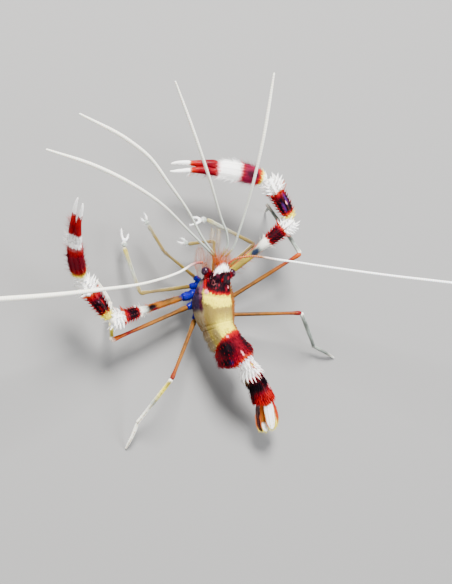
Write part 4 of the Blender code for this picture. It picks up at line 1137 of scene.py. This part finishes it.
def stumpShape(leg, side):
    # from inside the breast, through the root and along the leg's way, with a joint near its end
    (root, *_), ways, _ = jointsOf(f"{leg}_{side}")
    _, reach, thick = rootOf(f"{leg}_{side}")
    inside = (root[0] - bases["inwards"] * sides[side], max(root[1], bases["foremost"]), bases["level"])
    line, length = curveLine((inside, root, root + ways[0] * reach * 0.5, root + ways[0] * (reach - 0.1)))
    joint = (length - reach * 0.55) / length
    girths = [(at, size * thick) for at, size in (
        (0, 0.9), (0.3, 1.05), (joint - 0.08, 1.08), (joint, 0.9), (joint + 0.1, 1.04), (0.9, 0.9), (1, 0.8))]
    return barForm(line, girths, length, ends=(0.3, 0.3))


def makeBases():
    # the breastplate between the legs, and a ringed stump for each leg; their paint follows the place itself
    length = bases["length"]
    line = straightLine((0, bases["begin"], bases["height"]), np.array((0, 1, 0)), 0, length)
    chest = barForm(line, np.array(bases["plate"]) / (length, 1, 1), length,
                    relief=lambda u, v: -0.1 * bell(u * 5 % 1, 0.5, 0.12) * step(0.45, 0.6, v))
    stumps = [stumpShape(leg, side) for leg in roots if "_" not in leg for side in sides]
    skins = [gridSkin(chest, rows=70, columns=40), *(gridSkin(stump, rows=44, columns=28) for stump in stumps)]
    for skin in skins:
        skin["rest"] = skin["points"]
    shellPiece("legBases", skins, "base", "blue_shell", "leg_bases")
    batches = []
    for number, stump in enumerate(stumps, 1):
        u, v = scatter(rows=3, columns=6, uRange=(0.5, 0.95), vRange=(0, 1))
        grow(batches, stump, u, v, length=0.4, girth=0.09, lean=0.9, tile=(number, len(skins)))
        batches[-1]["rest"] = batches[-1]["points"]
    coatPiece("baseSpines", batches, "base")


makeBases()
pincerHairs, spinules = [], []
for side in sides:
    for leg in ("leg1", "leg2"):
        makeArm(leg, side, pincerHairs)
coatPiece("pincerBristles", pincerHairs, "pincer")
for side, mirror in sides.items():
    makeClaw(side, mirror)
    for leg in ("leg4", "leg5"):
        makeWalker(leg, side, spinules)
coatPiece("legSpinules", spinules, "shin")
print("legs and claws made")


feelers = dict(
    antenna_left=((3.9, -10.8, 12.1), (6.2, -10.4, 12.9), (12.2, -7.1, 15), (22.4, -3.2, 18), (38.8, 0.6, 23),
                  (54.2, 3.6, 28), (68.6, 5.9, 32), (92, 9, 37)),
    antenna_right=((-3.9, -10.8, 12.1), (-5.6, -12.2, 12.9), (-9.2, -13.1, 14), (-18.2, -12.2, 17.5),
                   (-28.9, -10.5, 22), (-48.1, -8.3, 27), (-67.6, -6.5, 32), (-91, -4.5, 37)),
    antennule_left_inner=((0.7, -12.3, 14.4), (5.5, -16.5, 16.5), (11.9, -23.8, 20), (19.3, -30.1, 24),
                          (26.4, -36, 27.5), (33.8, -39.2, 31), (50, -43.5, 37)),
    antennule_left_outer=((1.7, -12.3, 15), (5.5, -14, 18), (11.9, -17.5, 21.5), (23.6, -23.6, 28),
                          (34.7, -27.4, 33), (45.4, -29.9, 37), (60, -32, 41)),
    antennule_right_inner=((-0.8, -12.3, 14.4), (-2, -15.2, 16), (-0.9, -18.5, 18.2), (1.7, -21.9, 20.5),
                           (8.7, -31.4, 28), (15.2, -40.4, 34), (25, -54, 42)),
    antennule_right_outer=((-1.7, -12.3, 15), (-3.3, -14.3, 16.4), (-4.1, -19.1, 19.5), (-4.7, -24.9, 23),
                           (-4.7, -33.5, 29), (-4.8, -42.5, 34), (-4.5, -60, 42)),
)
# half thickness near the head, further out, and at the tip, and the finish
feelerGirth = dict(
    antenna_left=(0.34, 0.6, 0.26, "feelerRosy"), antenna_right=(0.32, 0.38, 0.26, "feelerOrange"),
    antennule_left_inner=(0.34, 0.5, 0.26, "feelerPlain"), antennule_left_outer=(0.34, 0.5, 0.26, "feelerPlain"),
    antennule_right_inner=(0.32, 0.42, 0.26, "feelerPlain"), antennule_right_outer=(0.32, 0.42, 0.26, "feelerPlain"),
)


def makeFeelers():
    # each a tapering wire of fine joints along its curve
    for name, points in feelers.items():
        line, length = curveLine(points)
        near, middle, tip, finish = feelerGirth[name]
        girths = ((0, near), (0.2, near), (0.5, middle), (0.85, middle), (1, tip))
        shape = barForm(line, girths, length, ends=(0.3, 0.2),
                        relief=lambda u, v, length=length: 0.04 * np.cos(2 * math.pi * u * length / 0.9))
        skins = [gridSkin(shape, rows=int(length * 4), columns=12, crowd=0)]
        shellPiece("feeler" + name.title().replace("_", ""), skins, finish, "feeler", name + "_feeler")


head = dict(
    stalk=(2.25, -6.75, 14.25), look=(58, 3),
    cup=((0, 0.85, 0.8), (0.3, 0.95, 0.85), (0.7, 1.05, 1), (1, 1.08)),
    eye=((0, 1.02), (0.15, 1.18), (0.5, 1.27), (0.8, 1.1), (1, 0.7)),
    antennule=((0, 0.6), (0.3, 0.66), (0.37, 0.56), (0.45, 0.62), (0.66, 0.6), (0.71, 0.5), (0.78, 0.56), (1, 0.48)),
    antenna=((0, 0.95), (0.3, 1.02, 1), (0.36, 0.88, 0.86), (0.45, 0.98, 0.94), (0.75, 0.86, 0.84), (0.8, 0.7),
             (0.88, 0.74, 0.72), (1, 0.6)),
    scale=((0, 0.7, 0.35), (0.15, 1.05, 0.36), (0.35, 1.4, 0.34), (0.7, 1.22, 0.3), (0.9, 0.8, 0.26), (1, 0.3, 0.2)),
    jaw=((0, 0.75, 0.7), (0.28, 0.78, 0.66), (0.32, 0.62, 0.56), (0.38, 0.7, 0.6), (0.58, 0.62, 0.54),
         (0.62, 0.48, 0.44), (0.68, 0.54, 0.5), (0.86, 0.4, 0.38), (1, 0.22)),
    # name, node, root, heading and pitch, length, girths, bow
    parts=(("antennuleBase", "antennule_base", (0.85, -6.75, 13.9), (2, 7), 5.35, "antennule", 0),
           ("antennaBase", "antenna_base", (2.3, -6.75, 11.6), (17, 5), 4.1, "antenna", 0),
           ("antennalScale", "antennal_scale", (3.7, -7.1, 9.5), (3, 8), 8.5, "scale", 0),
           ("mouthLeg", "maxilliped", (1.2, -7.3, 8), (-1, 18), 14.4, "jaw", 0.05)),
    fan=dict(count=70, middle=(0, -9.3, 14.6), size=(1.9, -1.2, 1.6), turn=24, rise=(4, 34), length=(2.2, 5.6),
             girth=0.075),
)


def makeHead():
    batches, lashes = [], []
    for side, mirror in sides.items():
        label, look = side.title(), direction(head["look"][0] * mirror, head["look"][1])
        stalk = np.array(head["stalk"]) * (mirror, 1, 1)
        cup = bar(stalk, look, -0.3, 1.65, head["cup"])
        shellPiece("eyestalk" + label, [gridSkin(cup, rows=30, columns=32, crowd=0.2)], "cup", "amber_shell",
                   "eyestalk_" + side)
        dome = bar(stalk, look, 1.5, 3.5, head["eye"], ends=(0, 1.3))
        shellPiece("eye" + label, [gridSkin(dome, rows=50, columns=48)], "eye", "eye", "eye_" + side)
        for name, node, root, (heading, pitch), length, girths, bow in head["parts"]:
            shape = bar(np.array(root) * (mirror, 1, 1), direction(heading * mirror, pitch), -0.6, length, head[girths],
                        bow=bow, ends=(0, 0.3))
            shellPiece(name + label, [gridSkin(shape, rows=90, columns=28, crowd=0.2)], "face", "amber_shell",
                       f"{node}_{side}")
            if girths == "scale":
                for v in (0, 0.5):
                    grow(batches, shape, np.linspace(0.3, 0.98, 30), v, length=1.5, girth=0.035, lean=1.6, corners=3)
            elif girths == "jaw":
                u, v = scatter(rows=26, columns=5, uRange=(0.1, 0.98), vRange=(0, 1))
                grow(batches, shape, u, v, length=1.3, girth=0.03, lean=1.3, spread=0.35, corners=3, curl=0.2)
            else:
                u, v = scatter(rows=6, columns=5, uRange=(0.3, 0.98), vRange=(0, 1))
                grow(batches, shape, u, v, length=0.7, girth=0.05, lean=1.5, corners=4)
        u, v = scatter(rows=4, columns=10, uRange=(0.3, 0.95), vRange=(0, 1))
        grow(lashes, cup, u, v, length=0.7, girth=0.12, lean=0.8, corners=4)
    coatPiece("eyestalkLashes", lashes, "cup")

    # a fan of bristles before the beak
    fan = head["fan"]
    count = fan["count"]
    aside, low, high = (chance.uniform(least, 1, count) for least in (-1, 0, 0))
    starts = np.array(fan["middle"]) + join(aside, low, high) * fan["size"]
    turn = fan["turn"] * aside + 5 * chance.normal(size=count)
    ways = direction(turn, chance.uniform(*fan["rise"], count))
    rest = join(0, 2 + 5 * chance.uniform(0, 1, count), 0.5)
    uv = join(0.5 + 0.45 * aside, chance.uniform(0.02, 0.98, count))
    batches.append(spikes(starts, ways, chance.uniform(*fan["length"], count), fan["girth"], rest, uv, 4))
    coatPiece("headBristles", batches, "bristle")


makeFeelers()
makeHead()
print("head and feelers made")


room = dict(
    span=3, floor=(0.2, 0.198, 0.195), air=(0.95, 0.97, 1), airStrength=0.42,
    # a broad soft key from the front left, a fill and a light from the side: place, size, power, tint
    lamps=dict(key=((0.12, -0.5, 0.6), 0.3, 30, (1, 0.985, 0.96)),
               fill=((-0.55, 0.15, 0.5), 0.5, 9, (0.95, 0.97, 1)),
               side=((0.6, 0.3, 0.4), 0.4, 3, (1, 1, 1))),
)


def makeRoom():
    # a pale floor a hair below the toes, three soft lamps and a bright air
    mesh, span = bpy.data.meshes.new("floor"), room["span"]
    corners = [(x * span, y * span, -0.00002) for x, y in ((-1, -1), (1, -1), (1, 1), (-1, 1))]
    mesh.from_pydata(corners, [], [(0, 1, 2, 3)])
    material = bpy.data.materials.new("floorMatte")
    material.use_nodes = True
    shader = material.node_tree.nodes["Principled BSDF"]
    shader.inputs["Base Color"].default_value = (*room["floor"], 1)
    shader.inputs["Roughness"].default_value = 0.9
    mesh.materials.append(material)
    linked("floor", mesh)
    for name, (spot, size, power, tint) in room["lamps"].items():
        light = bpy.data.lights.new(name, "AREA")
        light.shape, light.size, light.energy, light.color = "DISK", size, power, tint
        lamp = linked(name, light)
        lamp.location, lamp.rotation_mode = spot, "QUATERNION"
        lamp.rotation_quaternion = (-Vector(spot)).to_track_quat("-Z", "Y")
    world = bpy.data.worlds.new("air")
    world.use_nodes = True
    air = world.node_tree.nodes["Background"].inputs
    air[0].default_value, air[1].default_value = (*room["air"], 1), room["airStrength"]
    bpy.context.scene.world = world


def makeCamera():
    # above and to the animal's left, with its head up in the view
    view = dict(place=(161.2, 53.7, 377.3), right=(-0.912, 0, 0.411), up=(0.057, -0.990, 0.127), lens=86.3)
    right = unit(view["right"])
    backwards = unit(np.cross(right, unit(view["up"])))
    data = bpy.data.cameras.new("camera")
    data.sensor_fit, data.sensor_width, data.lens = "AUTO", 36, view["lens"]
    data.clip_start, data.clip_end = 0.01, 10
    camera = linked("camera", data)
    turn = Matrix(np.column_stack((right, np.cross(backwards, right), backwards)).tolist()).to_4x4()
    turn.translation = Vector((np.array(view["place"]) + shift) * 0.001)
    camera.matrix_world = turn
    bpy.context.scene.camera = camera


makeRoom()
makeCamera()
